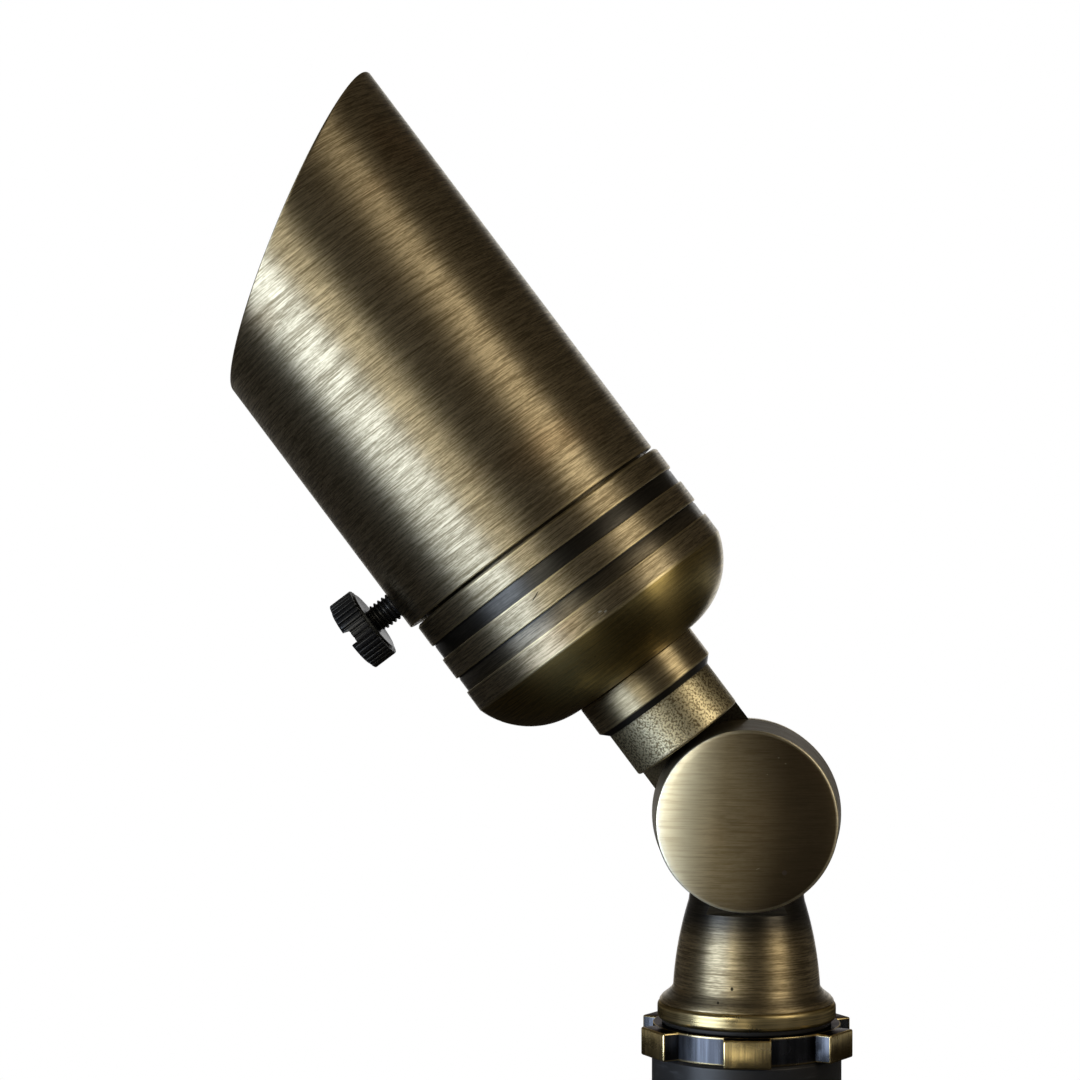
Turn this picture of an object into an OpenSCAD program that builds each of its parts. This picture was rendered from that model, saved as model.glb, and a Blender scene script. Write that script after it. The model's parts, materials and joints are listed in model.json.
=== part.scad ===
// Landscape spotlight for a low-voltage reflector lamp: a turned brass head
// with a sliding glare shroud, on a two-piece hollow knuckle and a ground stake.
// Origin: on the stake's axis at the ground line. +Z is up, the knuckle's bolt
// runs along Y, and the head leans towards -X.

/* [Ground stake] */
// Diameter of the stake's round head
stake_head_d = 39.2; // [36:0.2:46]
// Height of the round head above the ground line
stake_head_h = 45; // [38:1:70]
// Length of the spike below the ground line
spike_len = 180; // [120:5:260]
// Width across the fins at the ground line
spike_w = 34; // [24:1:36]
// Length of the spike's pointed end
point_len = 68.4; // [40:0.2:90]
// Width across the fins where the point begins
point_w = 25.2; // [16:0.1:28]
// Width across the fins at the tip
spike_tip_w = 4; // [2:0.5:10]
// Thickness of each fin
fin_t = 4.5; // [3:0.5:7]
// Diameter of the cable outlet in the side of the head
cable_hole_d = 10; // [7:0.5:12]
// Height of the cable outlet above the ground line
cable_hole_z = 14; // [12:0.5:18]

/* [Lock ring and base washer] */
// Diameter at the bottom of the ring's notches
ring_floor_d = 38.8; // [34:0.2:42]
// Width across two opposite lugs
ring_lug_across = 44.6; // [43:0.2:50]
// Number of lugs
ring_lugs = 6; // [4:1:8]
// Width of one lug
lug_w = 9.66; // [6:0.02:11]
// Height of the ring
ring_h = 5.8; // [4:0.1:9]
// Thickness of the rubber gasket
gasket_t = 0.9; // [0.8:0.1:2.5]
// Diameter of the gasket
gasket_d = 35; // [30:0.5:38]
// Thickness of the brass washer
washer_t = 3.6; // [2:0.1:5]
// How far the washer stands out past the foot
washer_lip = 0.45; // [0.2:0.05:1]

/* [Lower knuckle] */
// Diameter of the threaded stem, half-inch pipe thread
stem_d = 20.96; // [18:0.02:22]
// Length of stem inside the stake
stem_grip = 17; // [10:0.5:20]
// Diameter of the wireway through the stem
wireway_d = 11; // [7:0.5:12]
// Diameter of the foot, where it meets the washer
foot_d = 36; // [34:0.2:40]
// Height of the foot's flare
flare_h = 3.2; // [2:0.1:7]
// Diameter above the flare
waist_d = 30.4; // [28:0.2:32]
// Diameter of the cone just under the drum
cone_top_d = 24; // [22:0.2:25]
// Height of the pivot above the washer
pivot_h = 38; // [35:0.1:50]
// Largest diameter of the drum, at the parting face
drum_d = 39.44; // [37:0.02:42]
// Draft of the drum's side, in degrees
drum_draft = 3.6; // [0:0.1:6]
// Distance from the stake's axis to the rim of the drum's front face
drum_front = 10; // [9:0.1:12]
// How far the middle of the front face stands out past its rim
drum_crown = 0.8; // [0.2:0.1:1.5]
// Distance from the stake's axis to the parting face
drum_back = 6.8; // [5:0.1:8]

/* [Upper knuckle] */
// Thickness of the rear disc
disc_t = 8.4; // [7:0.1:11]
// Diameter of the cast neck
neck_d = 25.2; // [23:0.1:27]
// Height of the cast neck
neck_h = 10; // [7:0.1:16]
// Diameter of the threaded nipple
nipple_d = 13.6; // [12:0.1:15]
// Diameter of the nipple's wireway
nipple_bore_d = 8.5; // [6:0.1:9]
// Diameter of the knuckle bolt
bolt_d = 6; // [5:0.5:7]
// Tilt of the head from upright, in degrees
tilt = 37; // [0:1:60]

/* [Neck collar and housing] */
// Diameter of the smooth collar
collar_d = 28.3; // [27:0.1:30]
// Height of the collar
collar_h = 8.1; // [6:0.1:12]
// How far the housing's side stands back from the shroud's
housing_step = 0.3; // [0:0.05:0.5]
// Height of the domed end
dome_h = 12.3; // [10:0.1:15]
// Diameter of the flat in the middle of the dome
dome_flat_d = 28.4; // [26:0.1:32]
// Wall of the domed end
dome_wall = 4; // [3:0.1:5]
// Height of the first band, at the dome
first_band_h = 4.7; // [4:0.05:7]
// Height of the middle band
mid_band_h = 4.9; // [4:0.05:8]
// Height of the last band, at the shroud
last_band_h = 5.2; // [4:0.05:7]
// Height of each groove
groove_h = 3.45; // [2:0.05:4.5]
// Depth of each groove
groove_depth = 0.45; // [0.2:0.05:0.9]

/* [Lens cap] */
// Radial gap between the cap and the shroud
shroud_gap = 1.2; // [0.6:0.1:2]
// Wall of the cap
cap_wall = 2.6; // [2.2:0.1:2.8]
// Length of cap screwed into the housing
cap_grip = 10; // [8:0.1:11]
// Length of cap above the housing
cap_rise = 43.1; // [40:0.1:50]
// Thickness of the lens
lens_t = 3.2; // [2:0.1:4]
// Wall of the cap beside the lens
lens_wall = 1.8; // [1.4:0.1:2.4]
// Radial gap between the lens and its seat
lens_gap = 0.2; // [0.1:0.05:0.5]

/* [Glare shroud] */
// Outside diameter of the shroud
shroud_d = 62.4; // [61.6:0.1:65]
// Wall of the shroud
shroud_wall = 2; // [1.5:0.1:2.3]
// Length of the shroud on its short side
shroud_len = 61.9; // [55:0.1:90]
// Angle of the slanted mouth, in degrees
mouth_angle = 30; // [0:1:40]
// Gap between the shroud and the housing
seam = 0.6; // [0.4:0.1:2]

/* [Thumb screw] */
// Diameter of the thumb screw's shank
thumb_shank_d = 6; // [4:0.5:7]
// Diameter of the ribbed head
thumb_head_d = 16; // [12:0.1:20]
// Thickness of the ribbed head
thumb_head_t = 6.1; // [4:0.1:8]
// Number of ribs round the head
thumb_ribs = 36; // [24:1:48]
// Free shank between the shroud and the head
thumb_gap = 5.4; // [3:0.1:8]
// Height of the screw's axis above the shroud's lower edge
thumb_up = 5.9; // [5.6:0.1:9]
// Width of the driver slot
slot_w = 3.1; // [1.5:0.1:4]
// Depth of the driver slot
slot_depth = 1.5; // [1:0.1:2.5]

/* [Lamp] */
// Radial gap between the lamp's rim and the cap, round a 50 mm reflector lamp
lamp_gap = 0.6; // [0.3:0.1:1.5]
// Length of the lamp from its rim to its base
lamp_len = 38.5; // [36:0.1:39]
// Wall of the lamp's glass reflector
lamp_wall = 1.5; // [1:0.1:2]
// Spacing of the two pins
pin_pitch = 5.33; // [4:0.01:6.35]
// Diameter of a pin
pin_d = 1.55; // [1:0.05:2]
// Length of a pin
pin_len = 7; // [5:0.1:8]
// Height of the ceramic socket
socket_h = 11.6; // [9:0.1:12]
// Thickness of the bracket's sheet steel
bracket_t = 1; // [0.8:0.1:1.5]

/* [Hidden] */
$fn = 96;

// Radial clearance of a turning fit, and of a piece that only passes through
fit = 0.06;
slip = 0.1;
// Gap between pieces that move past each other
run = 0.3;
// Overshoot of a cut past the face that it opens
eps = 1;

// Heights of the stack, from the ground line to the pivot
ring_z = stake_head_h;
gasket_z = ring_z + ring_h;
washer_z = gasket_z + gasket_t;
foot_z = washer_z + washer_t;
pivot_z = foot_z + pivot_h;
stem_len = washer_t + gasket_t + ring_h + stem_grip;

// Radii of the knuckle
stem_r = stem_d / 2;
drum_r = drum_d / 2;
drum_len = drum_front + drum_back;
drum_face_r = drum_r - drum_len * tan(drum_draft);
rim_r = 0.6;
// How far the cone is milled down below the drum and the disc
ledge_drop = 0.4;
boss_r = bolt_d / 2 + 3.5;
chamber_r = drum_r - 5.2;
chamber_front = drum_front - 5;
o_ring_d = 1.5;
o_ring_r = (chamber_r + drum_r) / 2 - slip;
groove_y = o_ring_d - 2 * slip;

// Rear disc, its counterbore and the bolt
disc_y = drum_back + run;
disc_overhang = 0.08;
disc_r = drum_r + disc_overhang;
disc_draft = 2.7;
disc_recess = disc_t / 2;
bolt_head_r = bolt_d * 0.83;
bolt_head_h = bolt_d * 0.6;
lock_washer_t = bolt_d * 0.2;
counterbore_r = bolt_head_r + 0.8;
counterbore_depth = bolt_head_h + lock_washer_t + 0.2;
bolt_seat_y = disc_y + disc_t - counterbore_depth;
bolt_hole_depth = drum_back + chamber_front - 1;
bolt_grip = bolt_hole_depth - 1;

// Heights of the head, measured from the pivot along the head's axis
neck_gap = 0.58;
neck_s = drum_r + neck_gap;
collar_s = neck_s + neck_h;
dome_s = collar_s + collar_h;
crease_s = dome_s + dome_h;
lower_groove_s = crease_s + first_band_h;
upper_groove_s = lower_groove_s + groove_h + mid_band_h;
housing_top_s = upper_groove_s + groove_h + last_band_h;
shroud_s = housing_top_s + seam;
cap_s = housing_top_s - cap_grip;
cap_top_s = housing_top_s + cap_rise;
thumb_s = shroud_s + thumb_up;

// Radii of the head, from the shroud inwards
shroud_r = shroud_d / 2;
shroud_inner_r = shroud_r - shroud_wall;
housing_r = shroud_r - housing_step;
dome_flat_r = dome_flat_d / 2;
dome_arc_r = (pow(housing_r - dome_flat_r, 2) + dome_h * dome_h) / (2 * dome_h);
cap_r = shroud_inner_r - shroud_gap;
cap_inner_r = cap_r - cap_wall;
cavity_r = cap_inner_r + lamp_gap;
// The clamped shroud is drawn over to its screw's side
shroud_shift = shroud_inner_r - cap_r - run;
nipple_r = nipple_d / 2;
nut_h = 4;
nut_across = nipple_d + 5.4;
nipple_top_s = dome_s + dome_wall + bracket_t + nut_h + 1.6;
lead_hole_r = 1.4;

// Glands of the collar and the cap, and their cords
collar_cord_d = 1.5;
collar_gland_r = nipple_r + 2.4;
collar_gland_w = 2.4;
collar_gland_depth = collar_cord_d + slip;
cap_cord_d = 1.3;
cap_gland_w = 2.2;
// How far a cord stands proud of its gland, to be squeezed
squeeze = 0.02;

// Lens stack at the front of the cap
gasket_ring_t = 1;
retainer_t = 1.3;
retainer_w = 1.4;
lip_gap = 0.5;
lens_seat_r = cap_r - lens_wall;
lens_r = lens_seat_r - lens_gap;
lens_seat_s = cap_top_s - lip_gap - retainer_t - lens_t - gasket_ring_t;
ledge_t = 2.5;
ledge_w = 1.4;
ledge_r = cap_inner_r - ledge_w;
lens_s = lens_seat_s + gasket_ring_t;

// Lamp stack, hung from the lens seat down to the bracket
lamp_r = cap_inner_r - lamp_gap;
lamp_rim_s = lens_seat_s - ledge_t - 0.6;
lamp_base_s = lamp_rim_s - lamp_len;
lamp_base_h = 12;
lamp_base_w = 16;
lamp_base_depth = 10;
lamp_neck_r = 9;
pin_root = 4;
capsule_r = 4;
front_glass_t = 1.5;
front_glass_r = lamp_r - 0.8;
socket_s = lamp_base_s - run - socket_h;
socket_w = 22;
socket_depth_y = 12;
floor_s = dome_s + dome_wall;
bracket_half = 13;
bracket_w = 20;
leg_w = 12;
tab_len = 7;
screw_pitch = 17;
screw_r = 1.5;
screw_grip = 5;
pin_gap = 0.2;

// Puts its children in the head's frame: origin at the pivot, +Z along the head
module head_frame() {
    translate([0, 0, pivot_z]) rotate([0, -tilt, 0]) children();
}

// Puts its children on the bolt's axis, with their +Z along +Y, starting at y
module on_bolt_axis(y) {
    translate([0, y, pivot_z]) rotate([-90, 0, 0]) children();
}

// Flat ring between two radii
module ring(r_out, r_in, h) {
    difference() {
        cylinder(r = r_out, h = h);
        translate([0, 0, -eps]) cylinder(r = r_in, h = h + 2 * eps);
    }
}

// Round cord bent into a ring
module o_ring(r, cord) {
    rotate_extrude() translate([r, 0]) circle(d = cord, $fn = 32);
}

// One fin: full width at the ground, then tapering to the tip
module fin() {
    shoulder = spike_len - point_len;
    translate([0, fin_t / 2, 0]) rotate([90, 0, 0]) linear_extrude(fin_t)
        polygon([
            [-spike_w / 2, 0], [spike_w / 2, 0], [point_w / 2, -shoulder],
            [spike_tip_w / 2, -spike_len], [-spike_tip_w / 2, -spike_len],
            [-point_w / 2, -shoulder],
        ]);
}

// Head of the moulded ground stake: threaded socket over a cable chamber
module stake() {
    chamfer = 0.6;
    floor_t = 6;
    shelf_w = 1.5;
    thread_relief = 1;
    head_r = stake_head_d / 2;
    socket_floor = stake_head_h - stem_grip - thread_relief;
    color("#17181b") difference() {
        rotate_extrude() polygon([
            [0, 0], [head_r - 2 * chamfer, 0], [head_r, 2 * chamfer],
            [head_r, stake_head_h - chamfer], [head_r - chamfer, stake_head_h],
            [0, stake_head_h],
        ]);
        translate([0, 0, socket_floor])
            cylinder(r = stem_r + fit, h = stake_head_h - socket_floor + eps);
        translate([0, 0, floor_t]) cylinder(r = stem_r - shelf_w, h = stake_head_h - floor_t);
        translate([0, 0, cable_hole_z]) rotate([-90, 0, 0])
            cylinder(d = cable_hole_d, h = head_r + eps);
    }
}

// Spike of the same moulding: two fins crossed under the head
module stake_spike() {
    color("#17181b") {
        fin();
        rotate([0, 0, 90]) fin();
    }
}

// Castellated ring nut that locks the stem in the stake
module lock_ring() {
    bevel = 0.35;
    corner_r = norm([ring_lug_across / 2, lug_w / 2]);
    color("#5d503a") translate([0, 0, ring_z]) difference() {
        intersection() {
            union() {
                cylinder(d = ring_floor_d, h = ring_h);
                for (i = [0:ring_lugs - 1])
                    rotate([0, 0, -90 + i * 360 / ring_lugs]) translate([0, -lug_w / 2, 0])
                        cube([ring_lug_across / 2, lug_w, ring_h]);
            }
            rotate_extrude() polygon([
                [0, 0], [corner_r - bevel, 0], [corner_r, bevel],
                [corner_r, ring_h - bevel], [corner_r - bevel, ring_h], [0, ring_h],
            ]);
        }
        translate([0, 0, -eps]) cylinder(r = stem_r + fit, h = ring_h + 2 * eps);
    }
}

// Rubber gasket between the washer and the lock ring
module base_gasket() {
    color("#101010") translate([0, 0, gasket_z]) ring(gasket_d / 2, stem_r + slip, gasket_t);
}

// Brass washer with rounded edges, under the foot
module base_washer() {
    edge_r = 0.9;
    washer_r = foot_d / 2 + washer_lip;
    color("#b4924f") translate([0, 0, washer_z]) difference() {
        rotate_extrude() {
            square([washer_r - edge_r, washer_t]);
            translate([0, edge_r]) square([washer_r, washer_t - 2 * edge_r]);
            for (z = [edge_r, washer_t - edge_r])
                translate([washer_r - edge_r, z]) circle(r = edge_r, $fn = 32);
        }
        translate([0, 0, -eps]) cylinder(r = stem_r + slip, h = washer_t + 2 * eps);
    }
}

// The drum: a drafted round bar with a crowned front face and a softened rim
module drum_blank() {
    flat_r = drum_face_r - rim_r;
    steps = 6;
    crown = [for (i = [0:steps]) let (t = i / steps) [flat_r * t, drum_crown * (t * t - 1)]];
    rotate_extrude() {
        polygon(concat(crown, [
            [flat_r, rim_r], [drum_face_r, rim_r], [drum_r, drum_len], [0, drum_len],
        ]));
        translate([drum_face_r - rim_r, rim_r]) circle(r = rim_r, $fn = 32);
    }
}

// Bell-shaped cone from the flared foot up into the drum
module cone_blank() {
    // Both heights reach into the drum
    side_h = pivot_h - drum_face_r + 1.5;
    core_h = pivot_h - drum_r / 2;
    waist_r = waist_d / 2;
    top_r = cone_top_d / 2;
    foot_r = foot_d / 2;
    foot_edge = 0.3;
    foot_shoulder = 0.5;
    flare_step = 1;
    bow = 0.55;
    steps = 12;
    side = [for (i = [0:steps]) let (t = i / steps)
        [waist_r + (top_r - waist_r) * t + 4 * bow * t * (1 - t),
         flare_h + (side_h - flare_h) * t]];
    rotate_extrude() polygon(concat(
        [[0, 0], [foot_r, 0], [foot_r, foot_edge], [foot_r - foot_shoulder, flare_h * 0.31],
         [waist_r + flare_step, flare_h * 0.62]],
        side, [[top_r - 1, core_h], [0, core_h]]));
}

// Lower half of the knuckle: drum, milled cone, foot and hollow threaded stem
module lower_knuckle() {
    front_ledge_z = pivot_z - drum_face_r - ledge_drop;
    rear_ledge_z = pivot_z - disc_r - ledge_drop - slip;
    color("#6a5836") difference() {
        union() {
            on_bolt_axis(-drum_front) drum_blank();
            difference() {
                translate([0, 0, foot_z]) cone_blank();
                translate([-foot_d, -foot_d - drum_front, front_ledge_z])
                    cube([2 * foot_d, foot_d, pivot_h]);
                translate([-foot_d, drum_back, rear_ledge_z])
                    cube([2 * foot_d, foot_d, pivot_h]);
            }
            translate([0, 0, foot_z - stem_len]) cylinder(r = stem_r, h = stem_len + eps);
        }
        // Ring chamber where the leads pass round the bolt
        on_bolt_axis(-chamber_front) ring(chamber_r, boss_r, drum_len);
        // Wireway from the stem's end up into the chamber
        translate([0, 0, foot_z - stem_len - eps])
            cylinder(d = wireway_d, h = stem_len + pivot_h - boss_r - 2 + eps);
        // Tapped hole for the bolt, and the groove for the seal
        on_bolt_axis(drum_back - bolt_hole_depth)
            cylinder(r = bolt_d / 2 + fit, h = bolt_hole_depth + eps);
        on_bolt_axis(drum_back - groove_y)
            ring(o_ring_r + o_ring_d / 2 + slip, o_ring_r - o_ring_d / 2 - slip, groove_y + eps);
    }
}

// Seal between the two halves of the knuckle
module knuckle_o_ring() {
    color("#101010") on_bolt_axis(drum_back - groove_y + o_ring_d / 2 - slip + squeeze)
        o_ring(o_ring_r, o_ring_d - 2 * slip);
}

// Upper half of the knuckle: rear disc, offset arm, cast neck and threaded nipple
module upper_knuckle() {
    arm_r = collar_d / 2;
    arm_taper = 1.8;
    nipple_floor_s = collar_s + 2;
    // The lead holes climb from the disc's chamber into the nipple's wireway
    lead_x = 2.2;
    lead_low_s = chamber_r - 3;
    lead_top_s = collar_s + 3.5;
    lead_top_y = nipple_bore_d / 2 + 0.4;
    lead_turn = atan((disc_y + lead_hole_r + 0.5 - lead_top_y) / (lead_top_s - neck_s));
    color("#7a6638") {
        difference() {
            union() {
                // Rear disc, drafted towards its back
                on_bolt_axis(disc_y)
                    cylinder(r1 = disc_r, r2 = disc_r - disc_t * tan(disc_draft), h = disc_t);
                head_frame() {
                    intersection() {
                        union() {
                            cylinder(r = arm_r, h = neck_s);
                            translate([0, 0, neck_s])
                                cylinder(r1 = arm_r, r2 = neck_d / 2, h = arm_taper);
                        }
                        translate([-arm_r, disc_y, 0]) cube([2 * arm_r, arm_r, neck_s + neck_h]);
                    }
                    translate([0, 0, neck_s]) cylinder(d = neck_d, h = neck_h);
                    translate([0, 0, collar_s]) cylinder(r = nipple_r, h = nipple_top_s - collar_s);
                }
            }
            on_bolt_axis(disc_y - eps) ring(chamber_r, boss_r, disc_recess + eps);
            on_bolt_axis(disc_y - eps) cylinder(r = bolt_d / 2 + fit, h = disc_t + 2 * eps);
            on_bolt_axis(bolt_seat_y) cylinder(r = counterbore_r, h = counterbore_depth + eps);
            head_frame() {
                translate([0, 0, nipple_floor_s])
                    cylinder(d = nipple_bore_d, h = nipple_top_s - collar_s);
                for (x = [-lead_x, lead_x])
                    translate([x, lead_top_y, lead_top_s]) rotate([lead_turn, 0, 0])
                        translate([0, 0, lead_low_s - lead_top_s])
                            cylinder(r = lead_hole_r, h = lead_top_s - lead_low_s, $fn = 24);
            }
        }
    }
}

// Socket cap screw that clamps the knuckle from behind
module knuckle_bolt() {
    hex_depth = bolt_head_h * 0.6;
    edge = 0.4;
    color("#8d8f92") difference() {
        union() {
            on_bolt_axis(drum_back - bolt_grip)
                cylinder(d = bolt_d, h = bolt_grip + bolt_seat_y + lock_washer_t - drum_back);
            on_bolt_axis(bolt_seat_y + lock_washer_t) rotate_extrude() polygon([
                [0, 0], [bolt_head_r, 0], [bolt_head_r, bolt_head_h - edge],
                [bolt_head_r - edge, bolt_head_h], [0, bolt_head_h],
            ]);
        }
        on_bolt_axis(bolt_seat_y + lock_washer_t + bolt_head_h - hex_depth)
            cylinder(d = bolt_d * 0.96, h = hex_depth + eps, $fn = 6);
    }
}

// Split spring washer under the bolt's head
module knuckle_lock_washer() {
    split = 0.8;
    color("#8d8f92") difference() {
        on_bolt_axis(bolt_seat_y) ring(bolt_head_r + 0.3, bolt_d / 2 + slip, lock_washer_t);
        on_bolt_axis(bolt_seat_y - eps)
            translate([0, -split / 2, 0]) cube([bolt_head_r + eps, split, lock_washer_t + 2 * eps]);
    }
}

// Smooth collar between the cast neck and the housing
module neck_collar() {
    chamfer = (collar_d - neck_d) / 2;
    top_edge = 0.25;
    collar_r = collar_d / 2;
    color("#86703f") head_frame() translate([0, 0, collar_s]) difference() {
        rotate_extrude() polygon([
            [0, 0], [collar_r - chamfer, 0], [collar_r, chamfer], [collar_r, collar_h - top_edge],
            [collar_r - top_edge, collar_h], [0, collar_h],
        ]);
        translate([0, 0, -eps]) cylinder(r = nipple_r + slip, h = collar_h + 2 * eps);
        translate([0, 0, collar_h - collar_gland_depth])
            ring(collar_gland_r + collar_gland_w / 2, collar_gland_r - collar_gland_w / 2,
                 collar_gland_depth + eps);
    }
}

// Seal in the collar's top face, against the housing
module neck_o_ring() {
    color("#101010") head_frame() translate([0, 0, dome_s - collar_gland_depth / 2])
        o_ring(collar_gland_r, collar_cord_d);
}

// Half profile of a domed cup: an arc from the flat bottom up to the crease
module dome_profile(inset, top) {
    r_out = housing_r - inset;
    arc_r = dome_arc_r - inset;
    translate([0, inset]) square([dome_flat_r, top - inset]);
    intersection() {
        translate([dome_flat_r, dome_arc_r]) circle(r = arc_r, $fn = 128);
        translate([0, inset]) square([r_out, dome_arc_r]);
    }
    crease = dome_arc_r - sqrt(max(0, arc_r * arc_r - pow(r_out - dome_flat_r, 2)));
    translate([0, crease]) square([r_out, top - crease]);
}

// Turned housing: dome, three bands, two grooves and the threaded bore for the cap
module housing() {
    height = housing_top_s - dome_s;
    top_chamfer = 0.5;
    cavity_inset = housing_r - cavity_r;
    cavity_arc_r = dome_arc_r - dome_wall;
    cavity_crease = dome_arc_r - sqrt(max(0, cavity_arc_r * cavity_arc_r - pow(cavity_r - dome_flat_r, 2)));
    color("#75613a") head_frame() translate([0, 0, dome_s]) difference() {
        rotate_extrude() difference() {
            dome_profile(0, height);
            for (z = [lower_groove_s, upper_groove_s])
                translate([housing_r - groove_depth, z - dome_s]) square([eps, groove_h]);
            translate([housing_r - top_chamfer, height]) rotate(-45) square(2 * eps);
        }
        // Lamp space, following the dome
        rotate_extrude() {
            translate([0, dome_wall]) square([dome_flat_r, height]);
            intersection() {
                translate([dome_flat_r, dome_arc_r]) circle(r = cavity_arc_r, $fn = 128);
                translate([0, dome_wall]) square([cavity_r, height]);
            }
            translate([0, cavity_crease]) square([cavity_r, height - cavity_crease]);
        }
        translate([0, 0, height - cap_grip - slip]) cylinder(r = cap_r + fit, h = cap_grip + eps);
        translate([0, 0, -eps]) cylinder(r = nipple_r + slip, h = dome_wall + 2 * eps);
    }
}

// Hexagon nut that clamps the housing and the bracket on the nipple
module nipple_nut() {
    color("#9a8450") head_frame() translate([0, 0, floor_s + bracket_t]) difference() {
        cylinder(d = nut_across / cos(30), h = nut_h, $fn = 6);
        translate([0, 0, -eps]) cylinder(r = nipple_r + slip, h = nut_h + 2 * eps);
    }
}

// Folded sheet bracket: base under the nut, two legs and two tabs for the socket
module socket_bracket() {
    leg_h = socket_s - floor_s;
    color("#9b9da0") head_frame() translate([0, 0, floor_s]) difference() {
        union() {
            intersection() {
                translate([-bracket_half, -bracket_w / 2, 0])
                    cube([2 * bracket_half, bracket_w, bracket_t]);
                cylinder(r = dome_flat_r, h = bracket_t);
            }
            for (side = [0, 1]) mirror([side, 0, 0]) {
                translate([bracket_half - bracket_t, -leg_w / 2, 0]) cube([bracket_t, leg_w, leg_h]);
                translate([bracket_half - tab_len, -leg_w / 2, leg_h - bracket_t])
                    cube([tab_len, leg_w, bracket_t]);
            }
        }
        translate([0, 0, -eps]) cylinder(r = nipple_r + slip, h = bracket_t + 2 * eps);
        for (x = [-1, 1]) translate([x * screw_pitch / 2, 0, leg_h - bracket_t - eps])
            cylinder(r = screw_r + slip, h = bracket_t + 2 * eps, $fn = 32);
    }
}

// Two pan-head screws up through the bracket's tabs into the socket
module socket_screws() {
    pan_h = 1.8;
    pan_r = 2.8;
    driver_w = 0.8;
    color("#9b9da0") head_frame() for (x = [-1, 1])
        translate([x * screw_pitch / 2, 0, socket_s - bracket_t]) difference() {
            union() {
                translate([0, 0, -pan_h]) cylinder(r1 = pan_r - 0.6, r2 = pan_r, h = pan_h, $fn = 32);
                cylinder(r = screw_r, h = bracket_t + screw_grip, $fn = 32);
            }
            translate([-driver_w / 2, -pan_r - eps, -pan_h - eps])
                cube([driver_w, 2 * (pan_r + eps), driver_w + eps]);
        }
}

// Ceramic bi-pin socket
module lamp_socket() {
    corner = 3;
    color("#e6e1d4") head_frame() translate([0, 0, socket_s]) difference() {
        linear_extrude(socket_h) {
            square([socket_w - 2 * corner, socket_depth_y], center = true);
            square([socket_w, socket_depth_y - 2 * corner], center = true);
            for (x = [-1, 1], y = [-1, 1])
                translate([x * (socket_w / 2 - corner), y * (socket_depth_y / 2 - corner)])
                    circle(r = corner, $fn = 32);
        }
        for (x = [-1, 1]) {
            translate([x * pin_pitch / 2, 0, socket_h - pin_len - 1])
                cylinder(r = pin_d / 2 + pin_gap, h = pin_len + 1 + eps, $fn = 24);
            translate([x * screw_pitch / 2, 0, -eps])
                cylinder(r = screw_r + slip, h = screw_grip + 0.5 + eps, $fn = 32);
        }
    }
}

// Ceramic block of the lamp, over its pins
module lamp_base() {
    color("#efebe0") head_frame() translate([0, 0, lamp_base_s]) difference() {
        translate([-lamp_base_w / 2, -lamp_base_depth / 2, 0])
            cube([lamp_base_w, lamp_base_depth, lamp_base_h - slip]);
        for (x = [-1, 1]) translate([x * pin_pitch / 2, 0, -eps])
            cylinder(r = pin_d / 2 + 0.02, h = pin_root + eps, $fn = 24);
    }
}

// The lamp's two pins
module lamp_pins() {
    color("#b9bbbd") head_frame() for (x = [-1, 1])
        translate([x * pin_pitch / 2, 0, lamp_base_s - pin_len])
            cylinder(d = pin_d, h = pin_len + pin_root, $fn = 24);
}

// Radius of the lamp's bowl at a share t of its height: a parabola past the neck
function bowl_r(t, inset) =
    lamp_neck_r - inset + (lamp_r - lamp_neck_r) * pow(t, 0.62);

// Faceted-glass bowl of the lamp, open at its front
module lamp_reflector() {
    bowl_s = lamp_base_s + lamp_base_h;
    bowl_h = lamp_rim_s - bowl_s;
    steps = 10;
    outer = [for (i = [0:steps]) [bowl_r(i / steps, 0), bowl_h * i / steps]];
    inner = [for (i = [steps:-1:0])
        [bowl_r(i / steps, lamp_wall), lamp_wall + (bowl_h - lamp_wall) * i / steps]];
    color("#c9cdd2") head_frame() translate([0, 0, bowl_s]) difference() {
        rotate_extrude() polygon(concat([[0, 0]], outer, inner, [[0, lamp_wall]]));
        translate([0, 0, bowl_h - front_glass_t])
            cylinder(r = front_glass_r + slip, h = front_glass_t + eps);
        translate([0, 0, -eps])
            cylinder(r = capsule_r + 2 * slip, h = lamp_wall + 2 * eps, $fn = 32);
    }
}

// Burner: a small closed glass bulb standing in the bowl
module lamp_capsule() {
    capsule_h = 15;
    color("#dfe6ea") head_frame() translate([0, 0, lamp_base_s + lamp_base_h - slip])
        rotate_extrude() {
            square([capsule_r, capsule_h - capsule_r]);
            translate([0, capsule_h - capsule_r]) intersection() {
                circle(r = capsule_r, $fn = 32);
                square(capsule_r);
            }
        }
}

// Flat cover glass of the lamp
module lamp_front_glass() {
    color("#cfe0e6") head_frame() translate([0, 0, lamp_rim_s - front_glass_t])
        cylinder(r = front_glass_r, h = front_glass_t);
}

// Cap that screws into the housing and carries the lens and the shroud
module lens_cap() {
    cap_h = cap_top_s - cap_s;
    color("#6f5c36") head_frame() translate([0, 0, cap_s]) difference() {
        cylinder(r = cap_r, h = cap_h);
        translate([0, 0, -eps]) cylinder(r = ledge_r, h = cap_h + 2 * eps);
        translate([0, 0, -eps]) cylinder(r = cap_inner_r, h = lens_seat_s - ledge_t - cap_s + eps);
        translate([0, 0, lens_seat_s - cap_s]) cylinder(r = lens_seat_r, h = cap_h);
        translate([0, 0, (cap_grip - cap_gland_w) / 2])
            ring(cap_r + eps, cap_r - cap_cord_d, cap_gland_w);
    }
}

// Seal in the cap's gland, against the housing's bore
module cap_o_ring() {
    color("#101010") head_frame() translate([0, 0, cap_s + cap_grip / 2])
        o_ring(cap_r - cap_cord_d / 2 + squeeze, cap_cord_d);
}

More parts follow.
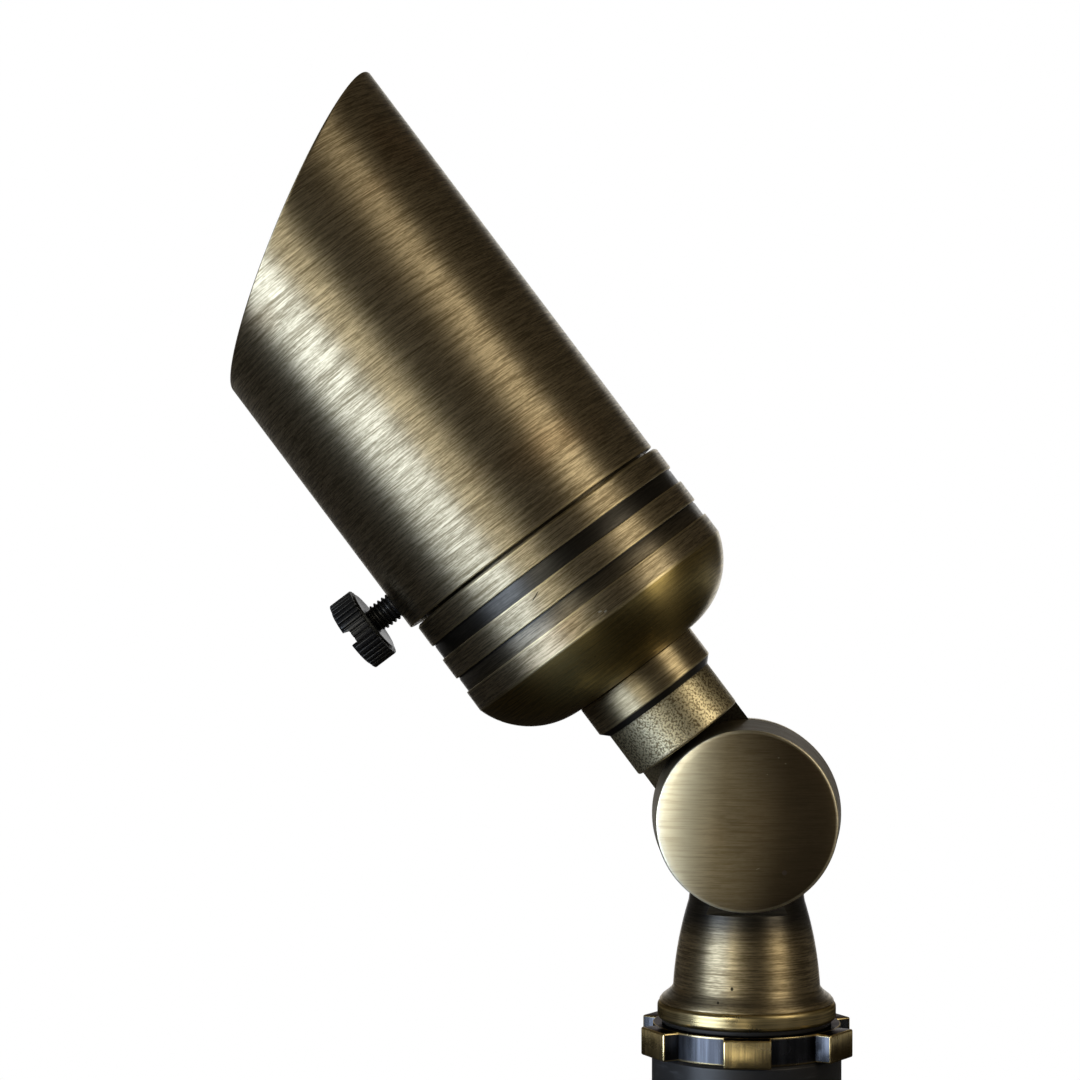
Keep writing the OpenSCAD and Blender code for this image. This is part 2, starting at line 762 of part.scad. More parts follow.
// Silicone ring that the lens sits on
module lens_gasket() {
    color("#2a2a2a") head_frame() translate([0, 0, lens_seat_s])
        ring(lens_seat_r - slip, ledge_r + 2 * slip, gasket_ring_t);
}

// Tempered glass lens with a softened edge
module lens() {
    edge = 0.4;
    color("#bcd6dc") head_frame() translate([0, 0, lens_s]) rotate_extrude() polygon([
        [0, 0], [lens_r - edge, 0], [lens_r, edge], [lens_r, lens_t - edge],
        [lens_r - edge, lens_t], [0, lens_t],
    ]);
}

// Split ring that keeps the lens in the cap
module lens_retaining_ring() {
    split = 3;
    color("#a9abad") head_frame() translate([0, 0, lens_s + lens_t]) difference() {
        ring(lens_seat_r - slip, lens_r - retainer_w, retainer_t);
        translate([0, -split / 2, -eps]) cube([cap_r, split, retainer_t + 2 * eps]);
    }
}

// Glare shroud: a tube with a slanted mouth and a tapped hole for the thumb screw
module shroud() {
    tall = shroud_len + shroud_d * tan(mouth_angle);
    color("#7d683c") head_frame() translate([-shroud_shift, 0, shroud_s]) difference() {
        ring(shroud_r, shroud_inner_r, tall);
        // Everything above the mouth, which rises from the short lip at -X
        rotate([90, 0, 0]) translate([0, 0, -shroud_d]) linear_extrude(2 * shroud_d) polygon([
            [-shroud_r - eps, shroud_len - eps * tan(mouth_angle)],
            [shroud_r + eps, tall + eps * tan(mouth_angle)],
            [shroud_r + eps, tall + shroud_d], [-shroud_r - eps, tall + shroud_d],
        ]);
        translate([0, 0, thumb_up]) rotate([0, -90, 0])
            cylinder(r = thumb_shank_d / 2 + fit, h = shroud_d);
    }
}

// Ribbed head of the thumb screw: a chamfered disc with a rib at each pitch
module ribbed_head() {
    rib_depth = 0.55;
    bevel = 0.8;
    root_r = thumb_head_d / 2 - rib_depth;
    pitch_w = PI * thumb_head_d / thumb_ribs;
    rotate_extrude() polygon([
        [0, 0], [root_r - bevel, 0], [root_r, bevel], [root_r, thumb_head_t - bevel],
        [root_r - bevel, thumb_head_t], [0, thumb_head_t],
    ]);
    for (i = [0:thumb_ribs - 1]) rotate([0, 0, i * 360 / thumb_ribs])
        translate([0, 0, bevel / 2]) linear_extrude(thumb_head_t - bevel) polygon([
            [root_r - bevel, -pitch_w * 0.32], [thumb_head_d / 2, -pitch_w * 0.22],
            [thumb_head_d / 2, pitch_w * 0.22], [root_r - bevel, pitch_w * 0.32],
        ]);
}

// Slotted thumb screw, threaded through the shroud
module thumb_screw() {
    head_r = thumb_head_d / 2;
    tip_x = cap_r + run;
    head_x = shroud_shift + shroud_r + thumb_gap;
    shank_r = thumb_shank_d / 2;
    tip_h = 0.6;
    color("#1b1b1d") head_frame() translate([0, 0, thumb_s]) rotate([0, -90, 0]) difference() {
        union() {
            rotate_extrude() polygon([
                [0, tip_x], [shank_r - tip_h, tip_x], [shank_r, tip_x + tip_h],
                [shank_r, head_x + thumb_head_t / 2], [0, head_x + thumb_head_t / 2],
            ]);
            translate([0, 0, head_x]) ribbed_head();
        }
        translate([-slot_w / 2, -head_r - eps, head_x + thumb_head_t - slot_depth])
            cube([slot_w, 2 * head_r + 2 * eps, slot_depth + eps]);
    }
}

stake();
stake_spike();
lock_ring();
base_gasket();
base_washer();
lower_knuckle();
knuckle_o_ring();
upper_knuckle();
knuckle_bolt();
knuckle_lock_washer();
neck_collar();
neck_o_ring();
housing();
nipple_nut();
socket_bracket();
socket_screws();
lamp_socket();
lamp_base();
lamp_pins();
lamp_reflector();
lamp_capsule();
lamp_front_glass();
lens_cap();
cap_o_ring();
lens_gasket();
lens();
lens_retaining_ring();
shroud();
thumb_screw();
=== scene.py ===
"""Landscape spotlight: brushed brass head on a disc knuckle, a lock ring and a ground stake.

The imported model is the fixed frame. Each visible solid gets a turned, bevelled twin with the
same sizes, finished with brushed, cast, polished or satin surfaces, and the hidden ones keep
their solids. Sizes are in millimetres, along the head's axis (s) or in the model's own frame.
"""

from __future__ import annotations

import json
import logging
import math
from dataclasses import dataclass, field
from enum import Enum
from typing import Callable, Iterable, Sequence

import bmesh
import bpy
from mathutils import Matrix, Vector

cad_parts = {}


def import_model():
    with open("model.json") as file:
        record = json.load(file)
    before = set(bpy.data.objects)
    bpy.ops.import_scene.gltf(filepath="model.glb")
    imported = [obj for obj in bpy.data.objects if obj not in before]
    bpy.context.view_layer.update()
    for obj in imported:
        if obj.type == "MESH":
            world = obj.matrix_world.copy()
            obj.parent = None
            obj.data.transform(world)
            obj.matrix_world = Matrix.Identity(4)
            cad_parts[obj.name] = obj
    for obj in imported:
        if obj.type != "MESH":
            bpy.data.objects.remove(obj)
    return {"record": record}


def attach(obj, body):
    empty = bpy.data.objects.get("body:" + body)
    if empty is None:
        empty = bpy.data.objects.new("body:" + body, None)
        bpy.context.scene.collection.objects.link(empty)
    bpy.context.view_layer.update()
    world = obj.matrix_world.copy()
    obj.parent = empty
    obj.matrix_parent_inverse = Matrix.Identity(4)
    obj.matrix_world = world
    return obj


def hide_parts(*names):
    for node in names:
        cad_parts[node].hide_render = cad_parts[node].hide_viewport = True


log = logging.getLogger("spotlight")

Piece = bpy.types.Object
Mesh = bpy.types.Mesh
Material = bpy.types.Material
Socket = bpy.types.NodeSocket
Triple = tuple[float, float, float]

MM = 0.001
WHITE = (1.0, 1.0, 1.0, 1.0)
# Distance from a rounded edge over which its wear and painted highlight fade out
FADE = 0.3
# Largest turn in one step of a rounded edge
ARC_STEP = math.radians(18)
# Edges that turn by more than this stay sharp in the shading
CREASE = math.radians(32)
# Largest shares of a stretch that its rounded end and its faded wear and painted highlight take up
ROUND_SHARE, FADE_SHARE = 0.4, 0.3
# Nearer to the axis than this, in mm, the points of a section meet in one
POLE = 1e-6
# Steps round the axis that turned pieces have unless told otherwise
STEPS = 192


class Body(Enum):
    """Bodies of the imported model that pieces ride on."""

    STAKE = "stake"
    BASE = "base"
    LOCK_RING = "lock_ring"
    BOLT = "bolt"
    HEAD = "head"
    CAP = "cap"
    SHROUD = "shroud"
    THUMB_SCREW = "thumb_screw"


class Brushing(Enum):
    """Direction across which the scratches of a brushed surface spread its highlights."""

    ROUND_HEAD = "round the head's axis"
    ROUND_BOLT = "round the bolt's axis"
    LEVEL = "level, along X and round the stake"


@dataclass(frozen=True)
class Corner:
    """Corner of a section, with the look of its edge and of the stretch that follows it.

    Attributes:
        r: distance from the axis, in mm.
        s: distance along the axis, in mm.
        round: radius of the rounded edge, in mm.
        wear_and_highlight: how far the edge is rubbed bright, partly worn and partly a painted
            highlight, 0 to 1.
        painted_shade: how much shade is painted on the following stretch, 0 to 1.
        warm: how golden the following stretch is, 0 to 1.
        steps: number of steps of the rounded edge, or 0 for one that follows its turn.
    """

    r: float
    s: float
    round: float = 0.0
    wear_and_highlight: float = 0.0
    painted_shade: float = 0.0
    warm: float = 0.0
    steps: int = 0


@dataclass(frozen=True)
class Dot:
    """Point of a finished section: its place and its share of wear and painted highlight, painted
    shade and warmth.
    """

    r: float
    s: float
    wear_and_highlight: float
    painted_shade: float
    warm: float


def clamp(value: float) -> float:
    """Keeps a value between 0 and 1."""
    return max(0.0, min(1.0, value))


def arc_corners(centre: tuple[float, float], radius: float, start: float, end: float, steps: int,
                warm: float = 0.0) -> list[Corner]:
    """Corners along an arc of a section.

    Args:
        centre: the arc's centre as (r, s), in mm.
        radius: its radius, in mm.
        start: first angle, in degrees from the outward radius.
        end: last angle, in degrees.
        steps: number of steps.
        warm: how golden the arc is.

    Returns:
        The corners, first and last included.
    """
    corners = []
    for i in range(steps + 1):
        a = math.radians(start + (end - start) * i / steps)
        corners.append(Corner(centre[0] + radius * math.cos(a), centre[1] + radius * math.sin(a),
                              warm=warm))
    return corners


def band(inner: float, outer: float, low: float, high: float, rounded: float = 0.0) -> list[Corner]:
    """Corners of a plain section between two radii and two heights, with its edges rounded."""
    places = ((inner, low), (outer, low), (outer, high), (inner, high))
    return [Corner(r, s, rounded) for r, s in places]


def section(corners: Sequence[Corner], closed: bool) -> list[Dot]:
    """Rounds a section's corners and adds the points that hold its flats flat.

    Args:
        corners: the section's corners, in order.
        closed: whether the last corner joins the first.

    Returns:
        The section's points.
    """
    count = len(corners)
    dots: list[Dot] = []
    for i, c in enumerate(corners):
        has_before = closed or i > 0
        has_after = closed or i < count - 1
        before, after = corners[i - 1], corners[(i + 1) % count]
        here = Vector((c.r, c.s))
        if not (has_before and has_after) or c.round <= 0:
            painted_shade = (before.painted_shade + c.painted_shade) / 2 if has_before else c.painted_shade
            warm = (before.warm + c.warm) / 2 if has_before else c.warm
            dots.append(Dot(c.r, c.s, c.wear_and_highlight, painted_shade, warm))
            continue
        back, ahead = Vector((before.r, before.s)) - here, Vector((after.r, after.s)) - here
        back_len, ahead_len = back.length, ahead.length
        back.normalize()
        ahead.normalize()
        turn = math.pi - back.angle(ahead)
        reach = min(c.round * math.tan(turn / 2), ROUND_SHARE * back_len, ROUND_SHARE * ahead_len)
        radius = reach / math.tan(turn / 2)
        hold_back = min(FADE, FADE_SHARE * (back_len - reach))
        hold_ahead = min(FADE, FADE_SHARE * (ahead_len - reach))
        p = here + back * (reach + hold_back)
        dots.append(Dot(p.x, p.y, 0.0, before.painted_shade, before.warm))
        bisector = (back + ahead).normalized()
        centre = here + bisector * (radius / math.cos(turn / 2))
        first = here + back * reach - centre
        steps = c.steps or max(2, math.ceil(turn / ARC_STEP))
        sign = 1.0 if back.x * ahead.y - back.y * ahead.x < 0 else -1.0
        for k in range(steps + 1):
            spin = Matrix.Rotation(sign * turn * k / steps, 2)
            q = centre + spin @ first
            dots.append(Dot(q.x, q.y, c.wear_and_highlight, 0.0, (before.warm + c.warm) / 2))
        p = here + ahead * (reach + hold_ahead)
        dots.append(Dot(p.x, p.y, 0.0, c.painted_shade, c.warm))
    return dots


def new_object(name: str, mesh: Mesh) -> Piece:
    """Links a mesh into the scene as an object at the origin."""
    piece = bpy.data.objects.new(name, mesh)
    bpy.context.scene.collection.objects.link(piece)
    return piece


def smooth(mesh: Mesh, crease: float = CREASE) -> None:
    """Shades a mesh smooth, with the edges sharper than the crease angle kept."""
    mesh.polygons.foreach_set("use_smooth", [True] * len(mesh.polygons))
    mesh.set_sharp_from_angle(angle=crease)
    mesh.update()


def made(name: str, bm: bmesh.types.BMesh) -> Piece:
    """Turns a finished bmesh into a smooth piece with its faces outward."""
    mesh = bpy.data.meshes.new(name)
    bmesh.ops.recalc_face_normals(bm, faces=bm.faces)
    bm.to_mesh(mesh)
    bm.free()
    smooth(mesh)
    return new_object(name, mesh)


def lathe(name: str, profile: Callable[[float], list[Dot]], place: Matrix, steps: int = STEPS,
          closed: bool = True) -> Piece:
    """Turns a section round its axis.

    Args:
        name: the piece's name.
        profile: gives the section at an angle round the axis, always with as many points.
        place: from the section's frame, in metres, to the model's.
        steps: number of steps round the axis.
        closed: whether the section is a closed outline, as on a ring.

    Returns:
        The turned piece, with its wear and painted highlight, painted shade and warmth in the
        attribute "patina".
    """
    bm = bmesh.new()
    layer = bm.verts.layers.float_color.new("patina")
    columns = []
    poles: dict[int, bmesh.types.BMVert] = {}
    for i in range(steps):
        a = 2 * math.pi * i / steps
        column = []
        for k, dot in enumerate(profile(a)):
            if dot.r < POLE and k in poles:
                column.append(poles[k])
                continue
            at = place @ (Vector((dot.r * math.cos(a), dot.r * math.sin(a), dot.s)) * MM)
            vert = bm.verts.new(at)
            vert[layer] = (dot.wear_and_highlight, dot.painted_shade, dot.warm, 1.0)
            column.append(vert)
            if dot.r < POLE:
                poles[k] = vert
        columns.append(column)
    rows = len(columns[0])
    last = rows if closed else rows - 1
    for i, column in enumerate(columns):
        following = columns[(i + 1) % steps]
        for k in range(last):
            j = (k + 1) % rows
            loop = [column[k], following[k], following[j], column[j]]
            loop = [v for n, v in enumerate(loop) if v not in loop[:n]]
            if len(loop) > 2:
                bm.faces.new(loop)
    return made(name, bm)


def turned(name: str, corners: Sequence[Corner], place: Matrix, steps: int = STEPS,
           closed: bool = True) -> Piece:
    """Turns one section, the same all round, round its axis."""
    dots = section(corners, closed)
    return lathe(name, lambda _: dots, place, steps, closed)


def block(name: str, low: Sequence[float], high: Sequence[float], place: Matrix,
          bevel: float = 0.0, painted_shade: float = 0.0, bevel_steps: int = 3) -> Piece:
    """Box between two corners, with its edges rounded.

    Args:
        name: the piece's name.
        low: lowest corner, in mm.
        high: highest corner, in mm.
        place: from the box's frame to the model's.
        bevel: radius of its edges, in mm.
        painted_shade: how much shade is painted on it.
        bevel_steps: number of steps of the rounding.

    Returns:
        The box.
    """
    bm = bmesh.new()
    layer = bm.verts.layers.float_color.new("patina")
    bmesh.ops.create_cube(bm, size=1.0)
    span = [high[i] - low[i] for i in range(3)]
    for vert in bm.verts:
        vert.co = Vector((low[i] + (vert.co[i] + 0.5) * span[i] for i in range(3))) * MM
        vert[layer] = (0.0, painted_shade, 0.0, 1.0)
    if bevel:
        bmesh.ops.bevel(bm, geom=bm.edges[:], offset=bevel * MM, segments=bevel_steps, profile=0.5,
                        affect="EDGES", clamp_overlap=True)
    bmesh.ops.transform(bm, matrix=place, verts=bm.verts)
    return made(name, bm)


def bake(piece: Piece) -> None:
    """Makes what a piece's modifiers show its plain mesh, and removes them."""
    graph = bpy.context.evaluated_depsgraph_get()
    graph.update()
    shown = piece.evaluated_get(graph)
    mesh = bpy.data.meshes.new_from_object(shown, preserve_all_data_layers=True, depsgraph=graph)
    old = piece.data
    piece.modifiers.clear()
    piece.data = mesh
    mesh.name = piece.name
    bpy.data.meshes.remove(old)


def discard(piece: Piece) -> None:
    """Removes a piece and its mesh."""
    mesh = piece.data
    bpy.data.objects.remove(piece)
    bpy.data.meshes.remove(mesh)


def cut(piece: Piece, tool: Piece, how: str = "DIFFERENCE", painted_shade: float = 0.5) -> None:
    """Cuts a piece with a tool, or keeps what both fill, and removes the tool.

    Args:
        piece: the piece that is changed.
        tool: the closed mesh that changes it.
        how: DIFFERENCE or INTERSECT.
        painted_shade: painted shade on the vertices that the cut makes, which carry no painted
            values yet.
    """
    modifier = piece.modifiers.new("cut", "BOOLEAN")
    modifier.operation = how
    modifier.solver = "EXACT"
    modifier.object = tool
    bake(piece)
    discard(tool)
    if not any(piece.data.materials):
        undress(piece.data)
    unpainted = 0.99
    for dot in piece.data.attributes["patina"].data:
        if min(dot.color) > unpainted:
            dot.color = (0.0, painted_shade, 0.0, 1.0)
    smooth(piece.data)


def undress(mesh: Mesh) -> None:
    """Empties a mesh's material slots and puts every face on the first."""
    mesh.materials.clear()
    mesh.polygons.foreach_set("material_index", [0] * len(mesh.polygons))


def join(name: str, parts: Sequence[Piece]) -> Piece:
    """Puts several meshes, each a shell of its own, into one object.

    Args:
        name: the new object's name.
        parts: the objects, which are removed.

    Returns:
        The joined object, whose material slots are those of its parts in order.
    """
    mesh = bpy.data.meshes.new(name)
    bm = bmesh.new()
    for part in parts:
        for material in part.data.materials:
            if material and material.name not in mesh.materials:
                mesh.materials.append(material)
        shift = [mesh.materials.find(m.name) if m else 0 for m in part.data.materials]
        old_faces = len(bm.faces)
        bm.from_mesh(part.data)
        bm.faces.ensure_lookup_table()
        for face in bm.faces[old_faces:]:
            if shift:
                face.material_index = shift[face.material_index]
    bm.to_mesh(mesh)
    bm.free()
    for part in parts:
        discard(part)
    return new_object(name, mesh)


def wire(tree: bpy.types.NodeTree, *links: tuple) -> None:
    """Links nodes, each link given as node, output, node and input."""
    for source, out, target, into in links:
        tree.links.new(source.outputs[out], target.inputs[into])


class PolarCopies:
    """Geometry Nodes tree that sets copies of one mesh round an axis."""

    def __init__(self, material: Material) -> None:
        """Builds the tree.

        Args:
            material: the material that the copies get.
        """
        tree = bpy.data.node_groups.new("polar_copies", "GeometryNodeTree")
        add = tree.interface.new_socket
        add("Geometry", in_out="INPUT", socket_type="NodeSocketGeometry")
        self.count_id = add("Count", in_out="INPUT", socket_type="NodeSocketInt").identifier
        self.start_id = add("Start angle", in_out="INPUT", socket_type="NodeSocketFloat").identifier
        add("Geometry", in_out="OUTPUT", socket_type="NodeSocketGeometry")
        self.tree = tree
        new = tree.nodes.new
        given, result = new("NodeGroupInput"), new("NodeGroupOutput")
        index = new("GeometryNodeInputIndex")
        line, spin = new("GeometryNodeMeshLine"), new("ShaderNodeCombineXYZ")
        step, angle = new("ShaderNodeMath"), new("ShaderNodeMath")
        copies, real = new("GeometryNodeInstanceOnPoints"), new("GeometryNodeRealizeInstances")
        dress = new("GeometryNodeSetMaterial")
        line.inputs["Offset"].default_value = (0.0, 0.0, 0.0)
        step.operation, angle.operation = "DIVIDE", "MULTIPLY_ADD"
        step.inputs[0].default_value = 2 * math.pi
        dress.inputs["Material"].default_value = material
        wire(tree, (given, "Count", line, "Count"), (given, "Count", step, 1), (index, 0, angle, 0),
             (step, 0, angle, 1), (given, "Start angle", angle, 2), (angle, 0, spin, "Z"),
             (line, "Mesh", copies, "Points"), (given, "Geometry", copies, "Instance"),
             (spin, 0, copies, "Rotation"), (copies, "Instances", real, "Geometry"),
             (real, "Geometry", dress, "Geometry"), (dress, "Geometry", result, "Geometry"))

    def apply(self, piece: Piece, count: int, start: float, place: Matrix) -> None:
        """Replaces a piece by its copies.

        Args:
            piece: one copy, built round the Z axis.
            count: number of copies.
            start: angle of the first, in radians.
            place: from the copies' frame to the model's.
        """
        modifier = piece.modifiers.new("copies", "NODES")
        modifier.node_group = self.tree
        modifier[self.count_id] = count
        modifier[self.start_id] = start
        bake(piece)
        piece.data.transform(place)
        smooth(piece.data)


class Sheet:
    """Short way to write a material's nodes."""

    def __init__(self, name: str) -> None:
        """Starts an empty material with a Principled shader.

        Args:
            name: the material's name.
        """
        self.material = bpy.data.materials.new(name)
        self.material.use_nodes = True
        self.tree = self.material.node_tree
        self.shader = next(n for n in self.tree.nodes if n.type == "BSDF_PRINCIPLED")
        self.places = self.new("ShaderNodeTexCoord").outputs["Object"]

    def new(self, kind: str, given: dict | None = None, **values: object) -> bpy.types.Node:
        """Adds a node, and sets its properties and its inputs, these by name or number."""
        node = self.tree.nodes.new(kind)
        for key, value in values.items():
            setattr(node, key, value)
        for key, value in (given or {}).items():
            self.put(node.inputs[key], value)
        return node

    def put(self, socket: Socket, value: object) -> None:
        """Links a socket to an output, or sets it to a value."""
        if isinstance(value, Socket):
            self.tree.links.new(value, socket)
        else:
            socket.default_value = value

    def set(self, **values: float | tuple) -> None:
        """Sets the shader's own sockets by name, with _ for a space."""
        for key, value in values.items():
            self.put(self.shader.inputs[key.replace("_", " ")], value)

    def math(self, how: str, a: object, b: object = 0.0, clamp: bool = False) -> Socket:
        """Result of a Math node."""
        return self.new("ShaderNodeMath", {0: a, 1: b}, operation=how, use_clamp=clamp).outputs[0]

    def total(self, *parts: tuple[object, float]) -> Socket:
        """Sum of values, each times its weight."""
        products = [self.math("MULTIPLY", value, weight) for value, weight in parts]
        result = products[0]
        for product in products[1:]:
            result = self.math("ADD", result, product)
        return result

    def tone(self, share: object, colour: Triple, low: float) -> Socket:
        """Colour between a darker shade of itself, low times as bright, and itself."""
        return self.mix(share, (*(low * v for v in colour), 1), (*colour, 1))

    def mix(self, share: object, a: object, b: object, how: str = "MIX") -> Socket:
        """Result of mixing two colours."""
        given = {0: share, 6: a, 7: b}
        return self.new("ShaderNodeMix", given, data_type="RGBA", blend_type=how).outputs[2]

    def turn(self, vector: object, place: Sequence[float], angles: Sequence[float],
             size: Sequence[float]) -> Socket:
        """Coordinates in a placed, turned and sized frame."""
        given = {"Vector": vector, "Location": place, "Rotation": angles, "Scale": size}
        return self.new("ShaderNodeMapping", given, vector_type="TEXTURE").outputs[0]

    def stretch(self, vector: object, rates: Sequence[float]) -> Socket:
        """Coordinates multiplied by a rate along each axis."""
        return self.new("ShaderNodeVectorMath", {0: vector, 1: rates},
                        operation="MULTIPLY").outputs[0]

    def length(self, vector: object) -> Socket:
        """Length of a vector."""
        return self.new("ShaderNodeVectorMath", {0: vector}, operation="LENGTH").outputs["Value"]

    def noise(self, vector: object, scale: float = 1.0, detail: float = 2.0,
              rough: float = 0.5) -> Socket:
        """Value of a Noise Texture."""
        given = {"Vector": vector, "Scale": scale, "Detail": detail, "Roughness": rough}
        return self.new("ShaderNodeTexNoise", given).outputs["Fac"]

    def span(self, value: object, low: float, high: float, to_low: float = 0.0,
             to_high: float = 1.0) -> Socket:
        """A value moved smoothly from one range to another."""
        given = dict(enumerate((value, low, high, to_low, to_high)))
        return self.new("ShaderNodeMapRange", given, interpolation_type="SMOOTHSTEP").outputs[0]

    def patina(self) -> tuple[Socket, Socket, Socket]:
        """Wear and painted highlight, painted shade and warmth painted on the piece's points."""
        painted = self.new("ShaderNodeAttribute", attribute_name="patina").outputs["Color"]
        return tuple(self.new("ShaderNodeSeparateColor", {0: painted}).outputs)

    def bump(self, height: object, strength: float, distance: float) -> None:
        """Gives the shader a bump from a height."""
        given = {"Height": height, "Strength": strength, "Distance": distance}
        self.set(Normal=self.new("ShaderNodeBump", given).outputs[0])

    def tangent(self, axis: Sequence[float]) -> None:
        """Sets the direction in which the highlights spread, as an axis of the piece."""
        node = self.new("ShaderNodeVectorTransform", {0: axis}, vector_type="VECTOR",
                        convert_from="OBJECT", convert_to="WORLD")
        self.set(Tangent=node.outputs[0])


@dataclass(frozen=True)
class Mark:
    """Small flaw of a surface: an ellipse where the colour changes.

    Attributes:
        at: its place in the pattern's frame, in mm.
        size: its half lengths, in mm.
        turn: its turn about the pattern's axes, in degrees.
        colour: its colour.
        share: how far it covers the metal.
    """

    at: Triple
    size: Triple
    turn: Triple
    colour: Triple
    share: float = 1.0


@dataclass(frozen=True)
class Finish:
    """Base of the finishes: a material that is known by its name."""

    name: str

    def make(self) -> Material:
        """Builds the material.

        Returns:
            The material.
        """
        sheet = Sheet(self.name)
        self.paint(sheet)
        return sheet.material

    def paint(self, sheet: Sheet) -> None:
        """Wires the material on its sheet."""
        raise NotImplementedError


@dataclass(frozen=True)
class BrushedBrass(Finish):
    """Antique brass with fine scratches one way, with painted shade in its grooves and recesses and
    its edges rubbed bright, partly worn and partly a painted highlight.
    """

    brushing: Brushing
    axis: Triple
    pivot: Triple
    tilt: float = 0.0
    bright: Triple = (0.74, 0.64, 0.45)
    deep: Triple = (0.22, 0.175, 0.10)
    gold: Triple = (0.58, 0.46, 0.185)
    worn_and_highlight: Triple = (0.92, 0.80, 0.50)
    # Colour of the painted shade.
    black: Triple = (0.09, 0.088, 0.085)
    roughness: float = 0.43
    spread: float = 0.8
    contrast: float = 1.0
    marks: tuple[Mark, ...] = ()

    def scratched(self, sheet: Sheet, here: Socket, rates: tuple[float, float],
                  **look: float) -> Socket:
        """Noise drawn out along the scratches, at rates per metre along and across them."""
        along, across = rates
        turned_axes = self.brushing is Brushing.ROUND_BOLT
        each = (along, across, along) if turned_axes else (along, along, across)
        return sheet.noise(sheet.stretch(here, each), **look)

    def paint(self, sheet: Sheet) -> None:
        """Wires the material on its sheet."""
        place = [v * MM for v in self.pivot]
        here = sheet.turn(sheet.places, place, (0.0, -self.tilt, 0.0), (1.0, 1.0, 1.0))
        wear_and_highlight, painted_shade, warm = sheet.patina()
        grain = self.scratched(sheet, here, (900.0, 5200.0), detail=1.0, rough=0.6)
        fine = self.scratched(sheet, here, (190.0, 4300.0), rough=0.6)
        streaks = self.scratched(sheet, here, (90.0, 1900.0), rough=0.6)
        clouds = sheet.noise(here, scale=60.0, detail=3.0, rough=0.55)
        lines = sheet.total((fine, 0.45), (streaks, 0.35), (grain, 0.20))
        spread = 0.13 / self.contrast
        level = sheet.span(lines, 0.5 - spread, 0.5 + spread)
        level = sheet.total((level, 0.82), (clouds, 0.22))
        scratch = self.scratched(sheet, here, (130.0, 3600.0), detail=0.0)
        level = sheet.math("MULTIPLY", level, sheet.span(scratch, 0.27, 0.37, 0.35, 1.0))
        colour = sheet.mix(level, (*self.deep, 1), (*self.bright, 1))
        colour = sheet.mix(warm, colour, sheet.tone(level, self.gold, 0.5))
        rust = sheet.span(sheet.noise(here, scale=38.0), 0.56, 0.74, 0.0, 0.35)
        colour = sheet.mix(rust, colour, sheet.mix(1.0, colour, (1.0, 0.78, 0.62, 1), "MULTIPLY"))
        # Painted shade, wherever the shade channel is set.
        colour = sheet.mix(painted_shade, colour, sheet.tone(level, self.black, 0.7))
        # Edges rubbed bright, worn and partly a painted highlight; on the drum's face, a painted
        # highlight towards -X.
        ragged = sheet.math("ADD", streaks, sheet.math("MULTIPLY", clouds, 0.5))
        ragged = sheet.span(ragged, 0.55, 0.85, 0.55, 1.0)
        rubbed_and_highlight = sheet.math("MULTIPLY", wear_and_highlight, ragged, clamp=True)
        colour = sheet.mix(rubbed_and_highlight, colour, (*self.worn_and_highlight, 1))
        for mark in self.marks:
            spot = sheet.turn(here, [v * MM for v in mark.at], [math.radians(v) for v in mark.turn],
                              [v * MM for v in mark.size])
            share = sheet.span(sheet.length(spot), 0.7, 1.1, mark.share, 0.0)
            colour = sheet.mix(share, colour, (*mark.colour, 1))
        rough = sheet.span(lines, 0.3, 0.7, self.roughness + 0.05, self.roughness - 0.05)
        rough = sheet.math("SUBTRACT", rough, sheet.math("MULTIPLY", warm, 0.11))
        sheet.set(Base_Color=colour, Roughness=rough, Metallic=1.0, Anisotropic=self.spread)
        sheet.tangent(self.axis)
        sheet.bump(lines, 0.35, 0.00004)


@dataclass(frozen=True)
class CastBrass(Finish):
    """Sand-cast brass: pitted, rubbed bright on its high points."""

    bright: Triple = (1.0, 0.90, 0.61)
    deep: Triple = (0.32, 0.26, 0.15)
    roughness: float = 0.42

    def paint(self, sheet: Sheet) -> None:
        """Wires the material on its sheet."""
        wear_and_highlight, painted_shade, _ = sheet.patina()
        grain = sheet.noise(sheet.places, scale=2400.0, detail=1.5, rough=0.5)
        swell = sheet.noise(sheet.places, scale=260.0, detail=2.0)
        height = sheet.total((grain, 0.8), (swell, 0.4))
        top = sheet.span(grain, 0.36, 0.58)
        colour = sheet.mix(top, (*self.deep, 1), (*self.bright, 1))
        shade = sheet.span(swell, 0.3, 0.7, 0.88, 1.0)
        grey = sheet.new("ShaderNodeCombineColor", {0: shade, 1: shade, 2: shade}).outputs[0]
        colour = sheet.mix(1.0, colour, grey, "MULTIPLY")
        # Painted shade on the arm in the gap above the drum; then edges rubbed bright, partly a
        # painted highlight.
        colour = sheet.mix(painted_shade, colour, (0.03, 0.026, 0.02, 1))
        colour = sheet.mix(sheet.math("MULTIPLY", wear_and_highlight, 0.8), colour, (0.90, 0.78, 0.48, 1))
        sheet.set(Base_Color=colour, Metallic=1.0, Roughness=self.roughness)
        sheet.bump(height, 0.5, 0.00012)


